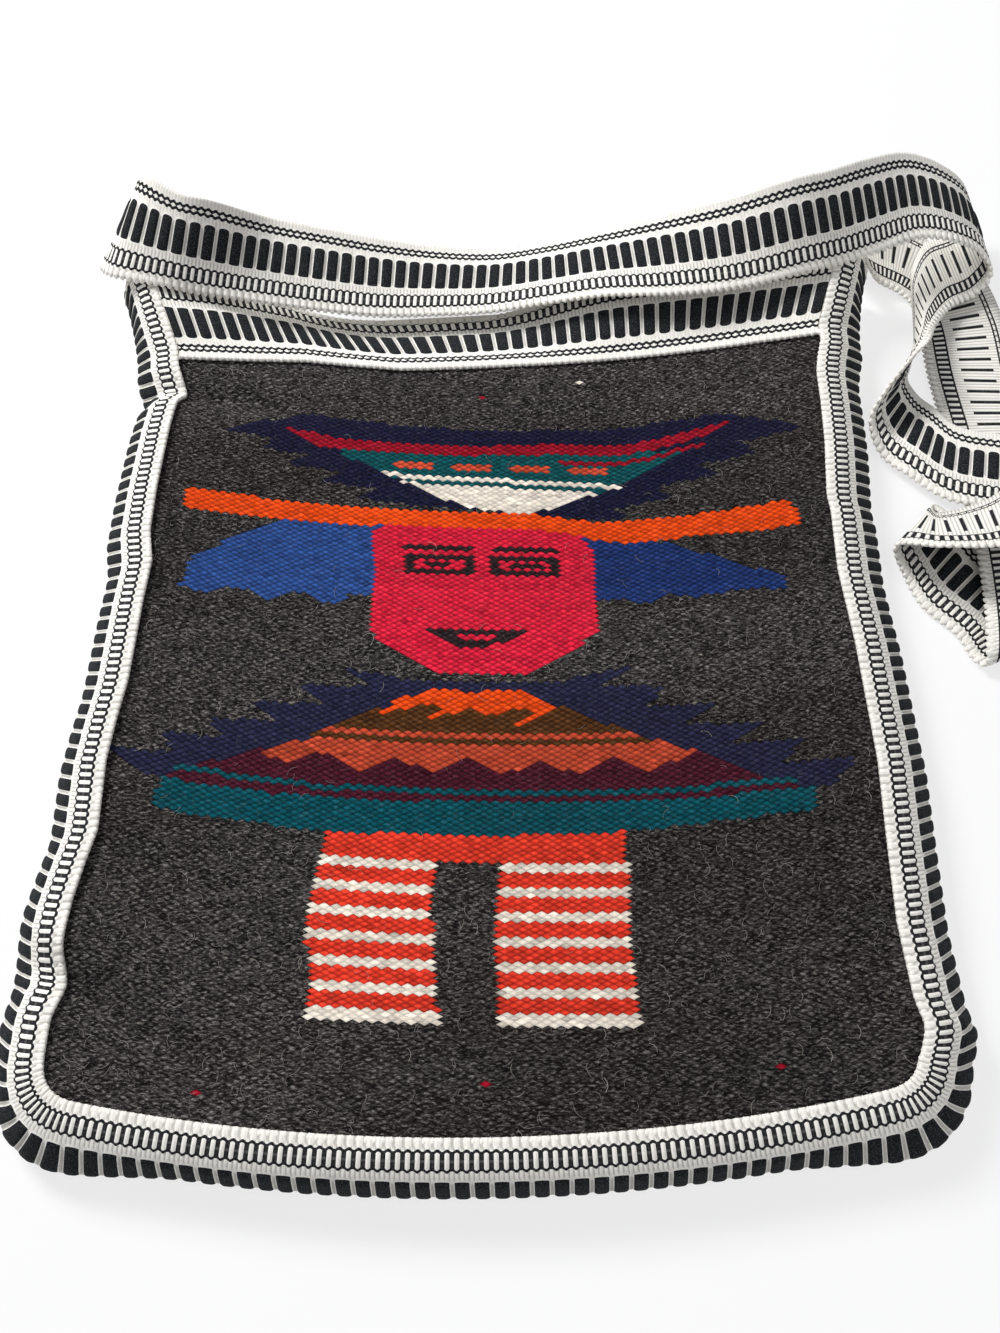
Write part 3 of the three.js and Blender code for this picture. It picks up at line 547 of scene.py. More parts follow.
for left, low, high, brow, pupil in [(-35.3, 44.4, 53.2, 55.4, (8, 19)), (-1, 44.2, 53, 55.2, (8, 21))]:
    middle = (low + high) / 2
    head.append((box(left + 1, left + EYE_WIDTH, brow, brow + LINE), INK))
    head.append((box(left, left + EYE_WIDTH, low, high), INK))
    head.append((box(left + EYE_SIDE, left + EYE_WIDTH - EYE_SIDE, low + LINE, high - LINE), FACE_RED))
    head.append((box(left + pupil[0], left + pupil[1], middle - PUPIL_HALF, middle + PUPIL_HALF), INK))
head.append(([(-26.5, 20), (-13, 12.4), (-2, 12.4), (15, 20.6)], INK))
head.append(([(-14, 18.2), (-9, 15.4), (-3, 15.4), (2, 18.2)], FACE_RED))

ZIGZAG_STEP = 25.1
poncho = [
    ([(-30, -2)] + feathers((-55, 1.5), (-15.5, -8.5), (9, -7), 6) + [(-118, -49.6), (115, -48.4)]
     + feathers((125.5, -38), (-15.2, 8.3), (-27.5, 0.3), 6) + [(22, -2)], PONCHO_NAVY),
    ([(-113, -48.6), (-103, -44), (-81, -34), (70, -31), (95, -43.5), (106, -48.2), (106, -51),
      (-113, -53)], BURGUNDY),
    ([(-108.7, -43.6), (-59, -45.6), (-4, -44.5), (52, -45), (103, -43.4), (103, -45.6), (52, -47.2),
      (-4, -46.7), (-59, -47.8), (-108.7, -45.8)], TEAL),
    ([(70.4, -31.3), (40, -20), (-52, -22), (-80.3, -35.4)]
     + feathers((-70.7, -39), (ZIGZAG_STEP, 0), (ZIGZAG_STEP / 2, 6), 6), RUST),
    ([(-42, -14.5), (-66, -27.1), (58, -27.1), (24, -11.5), (-10, -10)], OLIVE),
    ([(-61, -24.9), (-57, -22.7), (49, -22.7), (53, -24.9)], RUST),
    ([(-23, -4.7), (-35.6, -11), (-41.5, -17.6), (-28.7, -12.6), (-21.8, -12), (-16.5, -13.6), (-25.5, -17.8),
      (-8.6, -13.4), (-4.6, -13.8), (-1, -15.2), (-10, -19), (6.2, -13), (12, -13), (15.4, -15.2), (9, -19.2),
      (23.6, -12.7), (9.8, -5), (-9.8, -6.2)], ORANGE),
]

LEG_TOP = -72.2
LEG_FOOT = -129.6
TROUSERS_TALL = 12.6
STRIPES = 7
STRIPE_PERIOD = 8.8
WHITE_STRIPE = 3.8
FLECK = 1.9


def across_leg(sides, low, high):
    """A field across a leg whose two sides lean, each given by its place at the top and at the foot."""
    def at(side, y):
        top, foot = sides[side]
        return (top + (foot - top) * (LEG_TOP - y) / (LEG_TOP - LEG_FOOT), y)
    return [at(0, low), at(1, low), at(1, high), at(0, high)]


legs = [(box(-56.5, 46, LEG_TOP, LEG_TOP + TROUSERS_TALL), LEG_RED)]
for sides in [((-56.5, -54), (-17.4, -13.7)), ((4.1, 5.4), (46.4, 47.5))]:
    legs.append((across_leg(sides, LEG_FOOT, LEG_TOP), LEG_RED))
    for i in range(STRIPES):
        high = LEG_TOP - i * STRIPE_PERIOD
        legs.append((across_leg(sides, max(high - WHITE_STRIPE, LEG_FOOT), high), CREAM))
    legs.append((across_leg(sides, LEG_FOOT, LEG_TOP - (STRIPES - 1) * STRIPE_PERIOD), CREAM))
flecks = [(box(x, x + FLECK, y, y + LINE), colour) for x, y, colour in [
    (-9, 136, CRIMSON), (0, -150, CRIMSON), (87.5, -145, CRIMSON), (-86, -156, CRIMSON), (31, 142, CREAM)]]
legs.append(([(-113, -49.5), (-114.5, -60.5), (-110, -61.8), (-58, -63.5), (35, -61.3), (109, -56.3),
              (109, -48.3), (30, -49.6), (-4, -49.4), (-76, -51)], TEAL))
drawing = flecks + hat + head + poncho + legs


def weft_lift(x):
    share = x / HALF_WIDTH
    return WEFT_LIFT * share * share - WEFT_FALL * share


def inside(outline, x, y):
    """Whether each point lies in the outline, by counting crossed edges."""
    found = np.zeros(x.shape, dtype=bool)
    for (x0, y0), (x1, y1) in zip(outline, outline[1:] + outline[:1]):
        crosses = (y0 > y) != (y1 > y)
        slope = (x1 - x0) / (y1 - y0) if y1 != y0 else 0
        found ^= crosses & (x < x0 + (y - y0) * slope)
    return found


print("coloured fields:", len(drawing))

# %% [markdown]
# In a weft-faced tapestry each pick covers alternate warps, so the face shows rows of lens-shaped beads
# set like bricks. Each bead is real relief: eight triangles from a raised middle down to the tips. The
# colour is chosen bead by bead, which gives the figure's borders their woven steps.

# %% Tapestry panels
WARP = 1.95
PICK = 1.1
BEAD = 0.4
BEAD_EDGE = -0.5
BEAD_FACES = 8
LIFT_FOR_GAP_SHADE = 1.22
SPARE = 4
DYED_HEATHER = 0.14
UNDYED_SPREAD, DYED_SPREAD, PICK_SPREAD = 0.34, 0.12, 0.05
TINT_LEAST, TINT_MOST = 0.25, 2.4
CURVE_STEPS = 60
OUTLINE_STEP = 4.0
SEED = 7


def seam_points(step):
    """The seam of the front from the mouth down the left, round the bottom and up the right, with outward
    directions, evenly spaced."""
    turn_at = np.array([-HALF_WIDTH, CORNER_Y])
    pull = np.array([0.0, CORNER_Y - 2 * BOTTOM_BOW])
    start = turn_at + [0, CORNER_RUN]
    end = turn_at + unit(pull - turn_at) * CORNER_RUN
    share = np.linspace(0, 1, CURVE_STEPS)[:, None]

    def bend(a, b, c):
        return a * (1 - share) ** 2 + 2 * b * share * (1 - share) + c * share ** 2

    mirror = np.array([-1, 1])
    down = np.array([[-HALF_WIDTH, MOUTH]]) + (start - [-HALF_WIDTH, MOUTH]) * share
    left = np.vstack([down, bend(start, turn_at, end)[1:]])
    bottom = bend(end, pull, end * mirror)[1:]
    line = np.vstack([left, bottom, left[::-1][1:] * mirror])
    run, places = even_places(line, step)
    at = np.column_stack([np.interp(places, run, line[:, k]) for k in (0, 1)])
    along = unit(np.gradient(at, axis=0))
    return at, np.column_stack([along[:, 1], -along[:, 0]])


def panel_outline(outset):
    """Outline of a panel that reaches past the front's seam by the outset at each seam place."""
    at, out = seam_points(OUTLINE_STEP)
    moved = at + out * outset(at)[:, None]
    moved = moved[at[:, 1] <= PANEL_TOP]
    return [(moved[0][0], PANEL_TOP)] + [tuple(p) for p in moved] + [(moved[-1][0], PANEL_TOP)]


def bead_faces(centre, across):
    """Corner numbers of the eight triangles of each bead in a lattice with so many points across."""
    faces = []
    for sx, sy in ((1, 1), (-1, 1), (-1, -1), (1, -1)):
        tip, edge, top = centre + 2 * sx, centre + sx + sy * across, centre + 2 * sy * across
        for a, b, c in ((centre, tip, edge), (centre, edge, top)):
            faces.append(np.stack([a, b, c] if sx * sy > 0 else [a, c, b], axis=-1))
    return np.stack(faces, axis=1)


def tapestry(name, outline, height, fields, warp, pick, facing=1):
    """A woven panel: height(x, y) gives its face, fields its colours, and facing which way the face looks."""
    left, low = np.min(outline, axis=0) - SPARE * warp
    far, high = np.max(outline, axis=0) + SPARE * warp
    low -= 2 * WEFT_LIFT + WEFT_FALL
    x, y = np.arange(left, far, warp / 2), np.arange(low, high, pick / 2)
    column, row = np.meshgrid(np.arange(len(x)), np.arange(len(y)))
    grid_x, level = x[column], y[row]
    is_top = (column + row) % 4 == 0
    raised = np.where(column % 2 == 1, BEAD_EDGE, np.where(is_top, 1.0, -1.0))
    grid_y = level + weft_lift(grid_x)
    points = np.stack([grid_x, grid_y, height(grid_x, grid_y) + facing * BEAD * raised], axis=-1)

    well_inside = (column > 1) & (column < len(x) - 2) & (row > 1) & (row < len(y) - 2)
    bead = is_top & (column % 2 == 0) & well_inside & inside(outline, grid_x, grid_y)
    bead_x, bead_y = grid_x[bead], level[bead]
    random = np.random.default_rng(SEED)
    thread = np.tile(CHARCOAL, (len(bead_x), 1))
    heather = np.ones(len(bead_x))
    for field, colour in fields:
        covered = inside(field, bead_x, bead_y)
        thread[covered] = colour
        heather[covered] = DYED_HEATHER
    pick_tint = random.normal(0, 1, len(y))[row[bead]]
    spread = np.where(heather > DYED_HEATHER, UNDYED_SPREAD, DYED_SPREAD)
    uneven = 1 + spread * random.normal(0, 1, len(bead_x)) + PICK_SPREAD * pick_tint
    # Every bead's colour is lifted to make up for the painted shade in its gaps, so bead tops come out
    # lighter than the yarn itself.
    thread[:, :3] *= LIFT_FOR_GAP_SHADE * np.clip(uneven, TINT_LEAST, TINT_MOST)[:, None]

    faces = bead_faces(np.flatnonzero(bead), len(x)).reshape(-1, 3)[:, ::facing]
    used, faces = np.unique(faces, return_inverse=True)
    # The depth runs from nought on a bead's top to one in the gaps, and the wool finish paints shade by it.
    depth = (1 - raised.ravel()[used]) / 2
    return cloth_object(name, lie(points).reshape(-1, 3)[used], faces.reshape(-1, 3).tolist(),
                        np.repeat(thread, BEAD_FACES, axis=0), depth, wool, np.repeat(heather, BEAD_FACES))


seam_outline = panel_outline(lambda at: 0 * at[:, 0])
front_panel = tapestry("front_panel_cloth", seam_outline, panel_height, drawing, WARP, PICK)

# %% [markdown]
# The band is warp-faced: fine lengthwise threads carry the pattern, and every crosswise pick makes a rib.
# Its draft lists the thread columns from the chain edge to the ladder edge, and for each kind of column
# the rows where it shows black. Twelve rows make one repeat. The lines of the chain and of the ladder
# swing from side to side, and so do their columns.

# %% Draft of the band
ROW = 0.5
REPEAT = 12
SWING_ROWS = 6
SWING_START = 1.5
BLOCK_ROWS = 9
BLOCK = 0.8
ROUND_CHAIN, ROUND_LADDER = 1.1, 0.4
RIB, RIB_ROWS = 0.13, 3
RIB_LOW, RIB_HIGH = -1.0, 0.5
FAT_RIB, FAT_COLUMNS = 0.2, 3
RUNG, RUNG_COLUMNS, RUNG_FLOOR = 0.35, 4, -0.2
LOOP_INSET = 1.1

# Each kind of column with the places where its columns begin, in millimetres from the chain edge.
face_columns = [
    ("edge", [0, 1.2, 2.4]), ("line", [3.6]), ("link", [4.9]), ("line", [5.7]), ("plain", [7.0, 8.4]),
    ("block", [9.9, 11.7, 13.5, 15.3, 17.1, 18.9, 20.7, 22.5]), ("plain", [24.3, 25.6, 26.8]),
    ("line", [27.8]), ("rung", [28.8]), ("core", [30.6]), ("rung", [31.4]), ("line", [33.3]),
    ("edge", [34.3, 35.5, 36.8])]
back_columns = [
    ("edge", [0]), ("line", [4.2]), ("link", [5]), ("line", [6]), ("plain", [6.8]), ("dash", [10]),
    ("plain", [24]), ("line", [28]), ("rung", [28.8]), ("line", [33.4]), ("edge", [34.2])]
black_rows = {"line": range(REPEAT), "link": [4, 10], "block": range(BLOCK_ROWS),
              "rung": [3, 4, 5, 9, 10, 11], "dash": range(BLOCK_ROWS, REPEAT)}
black_rows["core"] = black_rows["rung"]
swings = {3.6: -0.4, 4.9: -0.4, 5.7: 0.4, 7.0: 0.4, 27.8: -0.4, 28.8: -0.4, 33.3: 0.4, 34.3: 0.4}
block_rise = np.array([0.15, 0.7, 0.92, 1, 1, 1, 1, 0.92, 0.7, 0.15, -0.15, -0.15])
block_crown = np.array([0.1, 0.8, 1, 1, 1, 1, 1, 0.85, 0.1])


def column_list(columns):
    """The kind of every column, and the places where columns begin and the last one ends."""
    kinds = [kind for kind, starts in columns for _ in starts]
    return kinds, np.array([start for _, starts in columns for start in starts] + [BAND_WIDTH], dtype=float)


def thread_colours(kinds):
    """Colour of each of the twelve rows in each column."""
    colours = np.tile(COTTON_WHITE, (REPEAT, len(kinds), 1))
    for k, kind in enumerate(kinds):
        colours[list(black_rows.get(kind, [])), k] = COTTON_GREY if kind == "core" else COTTON_BLACK
    return colours


face_kinds, face_starts = column_list(face_columns)
back_kinds, back_starts = column_list(back_columns)
BLOCK_FIRST = face_kinds.index("block")
BLOCK_LAST = BLOCK_FIRST + len(block_crown)
face_colours, back_colours = thread_colours(face_kinds), thread_colours(back_kinds)


def swing(rows):
    return np.cos(2 * math.pi * (np.arange(rows) - SWING_START) / SWING_ROWS)


def ribs(rows):
    return RIB * np.where(np.arange(rows) % RIB_ROWS == 0, RIB_LOW, RIB_HIGH)[:, None]


def face_places(rows):
    """Where the columns of the face begin in every row: straight, swinging, or rounded at the block ends."""
    sway = np.array([swings.get(float(start), 0) for start in face_starts])
    places = face_starts + swing(rows)[:, None] * sway
    share = np.minimum(1, np.abs(np.arange(rows) % REPEAT - BLOCK_ROWS / 2) / (BLOCK_ROWS / 2))
    rounding = 1 - np.sqrt(1 - share ** 2)
    places[:, BLOCK_FIRST] += ROUND_CHAIN * rounding
    places[:, BLOCK_LAST - 1] -= ROUND_LADDER * rounding
    return places


def face_relief(rows):
    """Height of the face above the band: ribs, fat ones at the ladder edge, blocks and rungs."""
    relief = np.tile(ribs(rows), (1, len(face_starts)))
    relief[:, -FAT_COLUMNS:] = FAT_RIB * swing(rows)[:, None]
    rung = face_kinds.index("rung")
    relief[:, rung:rung + RUNG_COLUMNS] = RUNG * np.maximum(swing(rows), RUNG_FLOOR)[:, None]
    rise = block_rise[np.arange(rows) % REPEAT][:, None]
    relief[:, BLOCK_FIRST:BLOCK_LAST] = BLOCK * rise * block_crown
    return relief


print("columns on the face:", len(face_kinds), "and on the reverse:", len(back_kinds))

# %% [markdown]
# Every band is then the same strip on another route. A route is a sheet of points: one line for each row,
# from the chain edge to the ladder edge. The strip reads its columns off that sheet and is closed: a face
# with the draft's relief, a reverse with its own draft, both edges and both ends.

# %% Strip along a route
SKIN = 0.1
THREAD_SPREAD, THREAD_LEAST, THREAD_MOST = 0.05, 0.8, 1.03
CHAIN_SHADE = 0.5


def read_across(sheet, shares):
    """Points of the sheet at a share of its width for each row and column."""
    last = sheet.shape[1] - 1
    place = np.clip(shares, 0, 1) * last
    low = np.minimum(place.astype(int), last - 1)
    share = (place - low)[..., None]
    row = np.arange(len(sheet))[:, None]
    return sheet[row, low] * (1 - share) + sheet[row, low + 1] * share


def closed_quads(rows, columns):
    """Corner numbers of every quad in a grid whose last column joins the first."""
    here = np.arange(rows * columns).reshape(rows, columns)
    after = np.roll(here, -1, axis=1)
    return np.stack([here[:-1], after[:-1], after[1:], here[1:]], axis=-1).reshape(-1, 4)


def band_strip(name, sheet):
    """The band on a sheet of points: its object, and both edges with the direction of the face there."""
    rows = len(sheet)
    facing = unit(np.cross(np.gradient(sheet, axis=1), np.gradient(sheet, axis=0)))
    face_at = face_places(rows) / BAND_WIDTH
    back_at = np.tile(back_starts[::-1] / BAND_WIDTH, (rows, 1))
    thick = BAND / 2 - SKIN
    relief, rib = face_relief(rows), ribs(rows)
    face = read_across(sheet, face_at) + read_across(facing, face_at) * (thick + relief)[..., None]
    back = read_across(sheet, back_at) - read_across(facing, back_at) * (thick + rib)[..., None]
    loop = np.concatenate([face, back], axis=1)
    count = loop.shape[1]
    near_end, far_end = list(range(count))[::-1], list(range((rows - 1) * count, rows * count))
    faces = closed_quads(rows, count).tolist() + [near_end, far_end]

    number = np.arange(rows - 1) % REPEAT
    side = np.tile(COTTON_WHITE, (rows - 1, 1, 1))
    thread = np.concatenate([face_colours[number], side, back_colours[number][:, ::-1], side], axis=1)
    random = np.random.default_rng(SEED)
    uneven = 1 + THREAD_SPREAD * random.normal(0, 1, thread.shape[:2])
    thread[..., :3] *= np.clip(uneven, THREAD_LEAST, THREAD_MOST)[..., None]
    thread = np.vstack([thread.reshape(-1, 4), COTTON_WHITE, COTTON_WHITE])
    # The depth by which the cotton finish paints shade: one down in the rib grooves and between the blocks,
    # half as much on the chain side.
    low = np.concatenate([-relief, np.tile(-rib, (1, back.shape[1]))], axis=1)
    low = np.clip(low / RIB, 0, 1)
    low[:, :BLOCK_FIRST] *= CHAIN_SHADE
    made = cloth_object(name, loop.reshape(-1, 3), faces, thread, low.ravel(), cotton)
    inset = LOOP_INSET / BAND_WIDTH
    edges = {}
    for edge, share in (("chain", inset), ("ladder", 1 - inset)):
        shares = np.full((rows, 1), share)
        edges[edge] = (read_across(sheet, shares)[:, 0], read_across(facing, shares)[:, 0])
    return made, edges


def soften(sheet, reach):
    """The sheet with its bends across rounded off."""
    padded = np.pad(sheet, ((0, 0), (reach, reach), (0, 0)), mode="reflect", reflect_type="odd")
    return np.lib.stride_tricks.sliding_window_view(padded, 2 * reach + 1, axis=1).mean(axis=-1)


print("strip ready, with", len(back_starts) + len(face_starts), "points round each row")

# %% [markdown]
# The front mouth band is sewn flat over the panel's upper edge, ladder to the mouth, and bends up or down
# from there. The back one lies on the table under it, face down.

# %% Mouth bands
ACROSS_POINTS = 77
ACROSS = np.linspace(0, BAND_WIDTH, ACROSS_POINTS)
SOFT_REACH = 4
BACK_BAND_HEIGHT = 1.65


def mouth_sheet(half):
    rows = int(round(2 * half / ROW))
    x, past = np.meshgrid(np.linspace(half, -half, rows + 1), ACROSS - MOUTH_LAP, indexing="ij")
    free = np.maximum(past, 0)
    lift = mouth_lift(x) / FREE
    y = PANEL_TOP + np.where(past < 0, past, past * np.sqrt(1 - lift ** 2))
    z = panel_height(x, PANEL_TOP) + GAP + BAND / 2 + free * lift
    x = x * (1 + flare(PANEL_TOP + free) / HALF_WIDTH)
    return lie(soften(np.stack([x, y, z], axis=-1), SOFT_REACH))


def back_mouth_sheet(half):
    rows = int(round(2 * half / ROW))
    x, y = np.meshgrid(np.linspace(-half, half, rows + 1), MOUTH - BAND_WIDTH + ACROSS, indexing="ij")
    x = x * (1 + flare(y) / half)
    return lie(np.stack([x, y, 0 * x + BACK_BAND_HEIGHT], axis=-1))


FRONT_HALF = HALF_WIDTH - MOUTH_LAP - GAP
front_mouth, front_edges = band_strip("front_mouth_cloth", mouth_sheet(FRONT_HALF))

# %% [markdown]
# The gusset is the same band, sewn to the front by its ladder edge, turned over the seam and sewn under by
# its chain edge, so its blocks lie on the outer wall. Its section is a line of straight stretches, from
# the foot up the wall and over the ledge to the lap, with rounded bends. The wall is steeper along the
# bottom and beside the mouth. The back panel and the back mouth band end just inside the foot.

# %% Gusset
BLOCK_FROM = 10.3
BLOCK_SPAN = 14.4
SHOULDER = 1
LEDGE = BAND_WIDTH - MOUTH_LAP - SHOULDER - BLOCK_FROM - BLOCK_SPAN
LEDGE_SLOPE = 27
SIDE_SLOPE = 52
BOTTOM_SLOPE = 78
SLOPE_RUN = 50
RAISED_LEDGE = 12
RAISED_WALL = 20
SEAM_STEP = 3.0
SLIP, SLIP_RUN = 0.55, 45
FLOOR_GAP = 0.1


def gusset_section(at):
    """Foot, wall top, ledge top and lap of the gusset at each seam place: distance outwards and height."""
    x, y = at[:, 0], at[:, 1]
    raised = np.clip((y - PANEL_TOP) / FREE, 0, 1)
    top = panel_height(x, y) + GAP + BAND + MOUTH_RISE * raised
    upright = smooth_step(HALF_WIDTH - np.abs(x), 0, SLOPE_RUN)
    ledge = np.radians(LEDGE_SLOPE + RAISED_LEDGE * raised)
    slope = SIDE_SLOPE + (BOTTOM_SLOPE - SIDE_SLOPE) * upright
    wall = np.radians(slope + RAISED_WALL * raised * (2 - raised))
    ledge_out, ledge_high = SHOULDER + LEDGE * np.cos(ledge), top - LEDGE * np.sin(ledge)
    wall_out, wall_low = ledge_out + BLOCK_SPAN * np.cos(wall), ledge_high - BLOCK_SPAN * np.sin(wall)
    drop = np.minimum(wall_low, BLOCK_FROM)
    foot_out = wall_out - np.sqrt(BLOCK_FROM ** 2 - drop ** 2)
    outs = [foot_out, wall_out, ledge_out, 0 * top + SHOULDER, 0 * top - MOUTH_LAP]
    heights = [wall_low - drop, wall_low, ledge_high, top, top]
    return np.stack([np.stack(outs, axis=1), np.stack(heights, axis=1)], axis=-1)


def even_rows(sheet, middle, slip=None):
    """The sheet with rows of even length along one of its lines, and that length. Slip gives how far each of
    the sheet's points is drawn along the run, where the rows lie at a slant."""
    run, places = even_places(middle, ROW)
    fine = np.empty((len(places),) + sheet.shape[1:])
    for k in range(sheet.shape[1]):
        drawn = places if slip is None else places + np.interp(places, run, slip[:, k])
        for axis in range(3):
            fine[:, k, axis] = np.interp(drawn, run, sheet[:, k, axis])
    return fine, run[-1]


def gusset_sheet():
    at, out = seam_points(SEAM_STEP)
    bends = gusset_section(at)
    marks = np.cumsum([0, BLOCK_FROM, BLOCK_SPAN, LEDGE, SHOULDER + MOUTH_LAP])
    stretch = np.clip(np.searchsorted(marks, ACROSS, side="right") - 1, 0, len(marks) - 2)
    share = ((ACROSS - marks[stretch]) / np.diff(marks)[stretch])[None, :, None]
    section = bends[:, stretch] * (1 - share) + bends[:, stretch + 1] * share
    section = soften(soften(section, SOFT_REACH), SOFT_REACH)
    along = unit(np.gradient(section, axis=1))
    outward = section[..., 0] - BAND / 2 * along[..., 1]
    height = np.maximum(section[..., 1] + BAND / 2 * along[..., 0], BAND / 2 + FLOOR_GAP)
    seam_x = at[:, 0] + np.sign(at[:, 0]) * flare(at[:, 1])
    x, y = seam_x[:, None] + out[:, :1] * outward, at[:, 1:] + out[:, 1:] * outward
    # Along both sides the wall was sewn on a little further towards the mouth than the lap.
    from_end = np.minimum(np.arange(len(at)), np.arange(len(at))[::-1]) * SEAM_STEP
    hold = out[:, 0] * smooth_step(from_end, 0, SLIP_RUN)
    slip = SLIP * hold[:, None] * (section[:, -1:, 1] - section[..., 1])
    return lie(np.stack([x, y, height], axis=-1)[::-1]), -slip[::-1]


route, slip = gusset_sheet()
route, gusset_length = even_rows(route, route[:, len(ACROSS) // 2], slip)
gusset, gusset_edges = band_strip("gusset_cloth", route)
print("gusset length", round(gusset_length), "mm")


def back_outset(at):
    below_mouth = np.column_stack([at[:, 0], np.minimum(at[:, 1], PANEL_TOP)])
    return gusset_section(below_mouth)[:, 0, 0] - BAND - GAP


BACK_WARP, BACK_PICK, BACK_GAP = 3.4, 1.8, 0.05
back_panel = tapestry("back_panel_cloth", panel_outline(back_outset), lambda x, y: 0 * x + BEAD + BACK_GAP,
                      [], BACK_WARP, BACK_PICK, facing=-1)
back_half = HALF_WIDTH + back_outset(np.array([[HALF_WIDTH, PANEL_TOP]]))[0]
back_mouth, back_edges = band_strip("back_mouth_cloth", back_mouth_sheet(back_half))

# %% [markdown]
# The strap grows out of the gusset's upper ends. It folds over at the left, runs across the mouth, curls
# under at the right, twists, and lies in two open folds beside the bag. Each stop on its route has a point
# of the ladder edge, the direction to the chain edge, and the width where it isn't the band's own. Points
# are measured from the mouth's left corner, then from the panel's face at a share of its half width, and
# then from the right corner.

# %% Strap route
STOP_STEPS = 40
LEAST_GAP = 1e-3
END_SHARES = (1.0, 0.7, 0.35, 0.1)

left_stops = [
    (-18.4, 0.4, 26.3, -4.1, 0, -12.6, 12.6), (-20, 9, 25, 0, 7, -14, 20), (-22.5, 15, 21.5, 11, 20, -8, 32),
    (-26, 14, 21, 21, 24, 5, 39), (-32, 8, 27, 23, 30, 19, 43), (-25, -4, 33, 17, 29, 27, 45),
]
run_stops = [
    (-1.01, -10.9, 9.6, 9.8, 25.6, 26.4), (-0.909, -12, 8, 8.1, 26.1, 26.4),
    (-0.72, -13, 6.2, 4.6, 34.9, 14.4), (-0.536, -12.8, 3.2, 3.2, 35.9, 12.1),
    (-0.35, -12.8, 1, 1.8, 37.1, 8.6), (-0.167, -11.6, 0.7, 2.5, 37.9, 2.8),
    (0.02, -11, 1.7, 2.4, 37.9, -0.6), (0.2, -12, 6.6, 0, 37.9, -1.4), (0.378, -14, 11.3, -2.7, 37.9, 0.3),
    (0.583, -17.5, 12.8, -3.8, 36.8, 8.9), (0.8, -17, 12, -4.5, 33.3, 17.8),
    (1.02, -10, 10, -8.1, 26.8, 25.7),
]
right_stops = [
    (18.5, -4.6, 33, -8.8, 25.8, 26.5), (36, 2.6, 33, -8.1, 29.2, 22.9), (53, 9.5, 33, -4.5, 33, 15),
    (70, 11, 29, -3, 34, 9), (84, 11, 21, -3, 34, 5), (89, 6, 14.5, -3, 35, 0), (83, 0, 8.8, -4, 36, 0),
    (70, -8, 9.5, -5, 36, 0), (58, -24, 15, -1, 35, -6), (50, -40, 22, 5, 30, -16),
    (43, -50, 25.5, 10, 25, -22), (30, -64, 18, 19, 28, -16), (25, -72, 10.5, 21, 28, -8.5),
    (29, -85, 4.5, 19, 29, -1.5), (38, -96, 5, 15, 31, 0), (52, -109, 5.5, 10, 36, 0),
    (75, -116, 6.5, 8, 37, 0), (88, -121, 8.5, 7.8, 36.7, 0), (97, -127, 15.5, 7.5, 36.5, 0),
    (92, -133, 22.5, 7, 36, -3), (78, -138, 26.5, 6, 33, -9.5), (60, -147, 28, 5, 30, -16),
    (38, -146, 26, 8, 28, -20), (24.5, -137, 13, 21.5, 26, -11), (30, -146, 3, 23, 27, -1),
    (35, -158, 1.6, 27, 27, -0.3), (46, -171, 1.4, 28, 26, 0), (50, -182, 2.2, 36, 17, 0),
    (52.5, -186, 4.8, 38, 14, 0, 40.5), (53.5, -183, 7.6, 38, 12, -0.2), (55, -175, 8.2, 38, 10, -0.5),
    (58, -153, 6.6, 38, 6, -1), (60, -125, 4.6, 38, 2, -1.5), (60, -99, 2.2, 38, 1, 0),
    (58.5, -73, 2.1, 38, 0, 0), (57, -41, 2.1, 38, -2, 0), (57.5, -15, 2.2, 37, 6, 0),
    (56, 1, 2.6, 31, 20, 0), (51, 7, 3.6, 15, 33, -1), (40, 9, 8, 2, 36, 1), (32, 10, 15, -6, 29, -6, 32),
    (24, 8, 22, -4, 12, -12, 20), (18.4, 0.4, 26.3, 4.1, 0, -12.6, 12.6),
]


def stop_edges():
    stops = [(x - HALF_WIDTH, *rest) for x, *rest in left_stops]
    for share, y, rise, *rest in run_stops:
        x = share * HALF_WIDTH
        stops.append((x, y, panel_height(x, PANEL_TOP) + GAP + BAND + rise, *rest))
    stops += [(x + HALF_WIDTH, *rest) for x, *rest in right_stops]
    stops = np.array([(stop + (BAND_WIDTH,))[:7] for stop in stops], dtype=float)
    ladder = stops[:, :3] + [0, MOUTH, 0]
    return ladder, ladder + unit(stops[:, 3:6]) * stops[:, 6:]


def catmull_through(points):
    """A centripetal Catmull-Rom curve through points."""
    points = np.vstack([2 * points[0] - points[1], points, 2 * points[-1] - points[-2]])
    pieces = []
    for i in range(1, len(points) - 2):
        near = points[i - 1:i + 3]
        gaps = np.maximum(np.linalg.norm(np.diff(near, axis=0), axis=1) ** 0.5, LEAST_GAP)
        t = np.concatenate([[0], np.cumsum(gaps)])
        at = np.linspace(t[1], t[2], STOP_STEPS, endpoint=False)[:, None]
        for spans in (((0, 1), (1, 2), (2, 3)), ((0, 2), (1, 3)), ((1, 2),)):
            mixed = []
            for k, (low, high) in enumerate(spans):
                span = t[high] - t[low]
                mixed.append(near[k] * (t[high] - at) / span + near[k + 1] * (at - t[low]) / span)
            near = mixed
        pieces.append(near[0])
    return np.vstack(pieces + [points[-2:-1]])


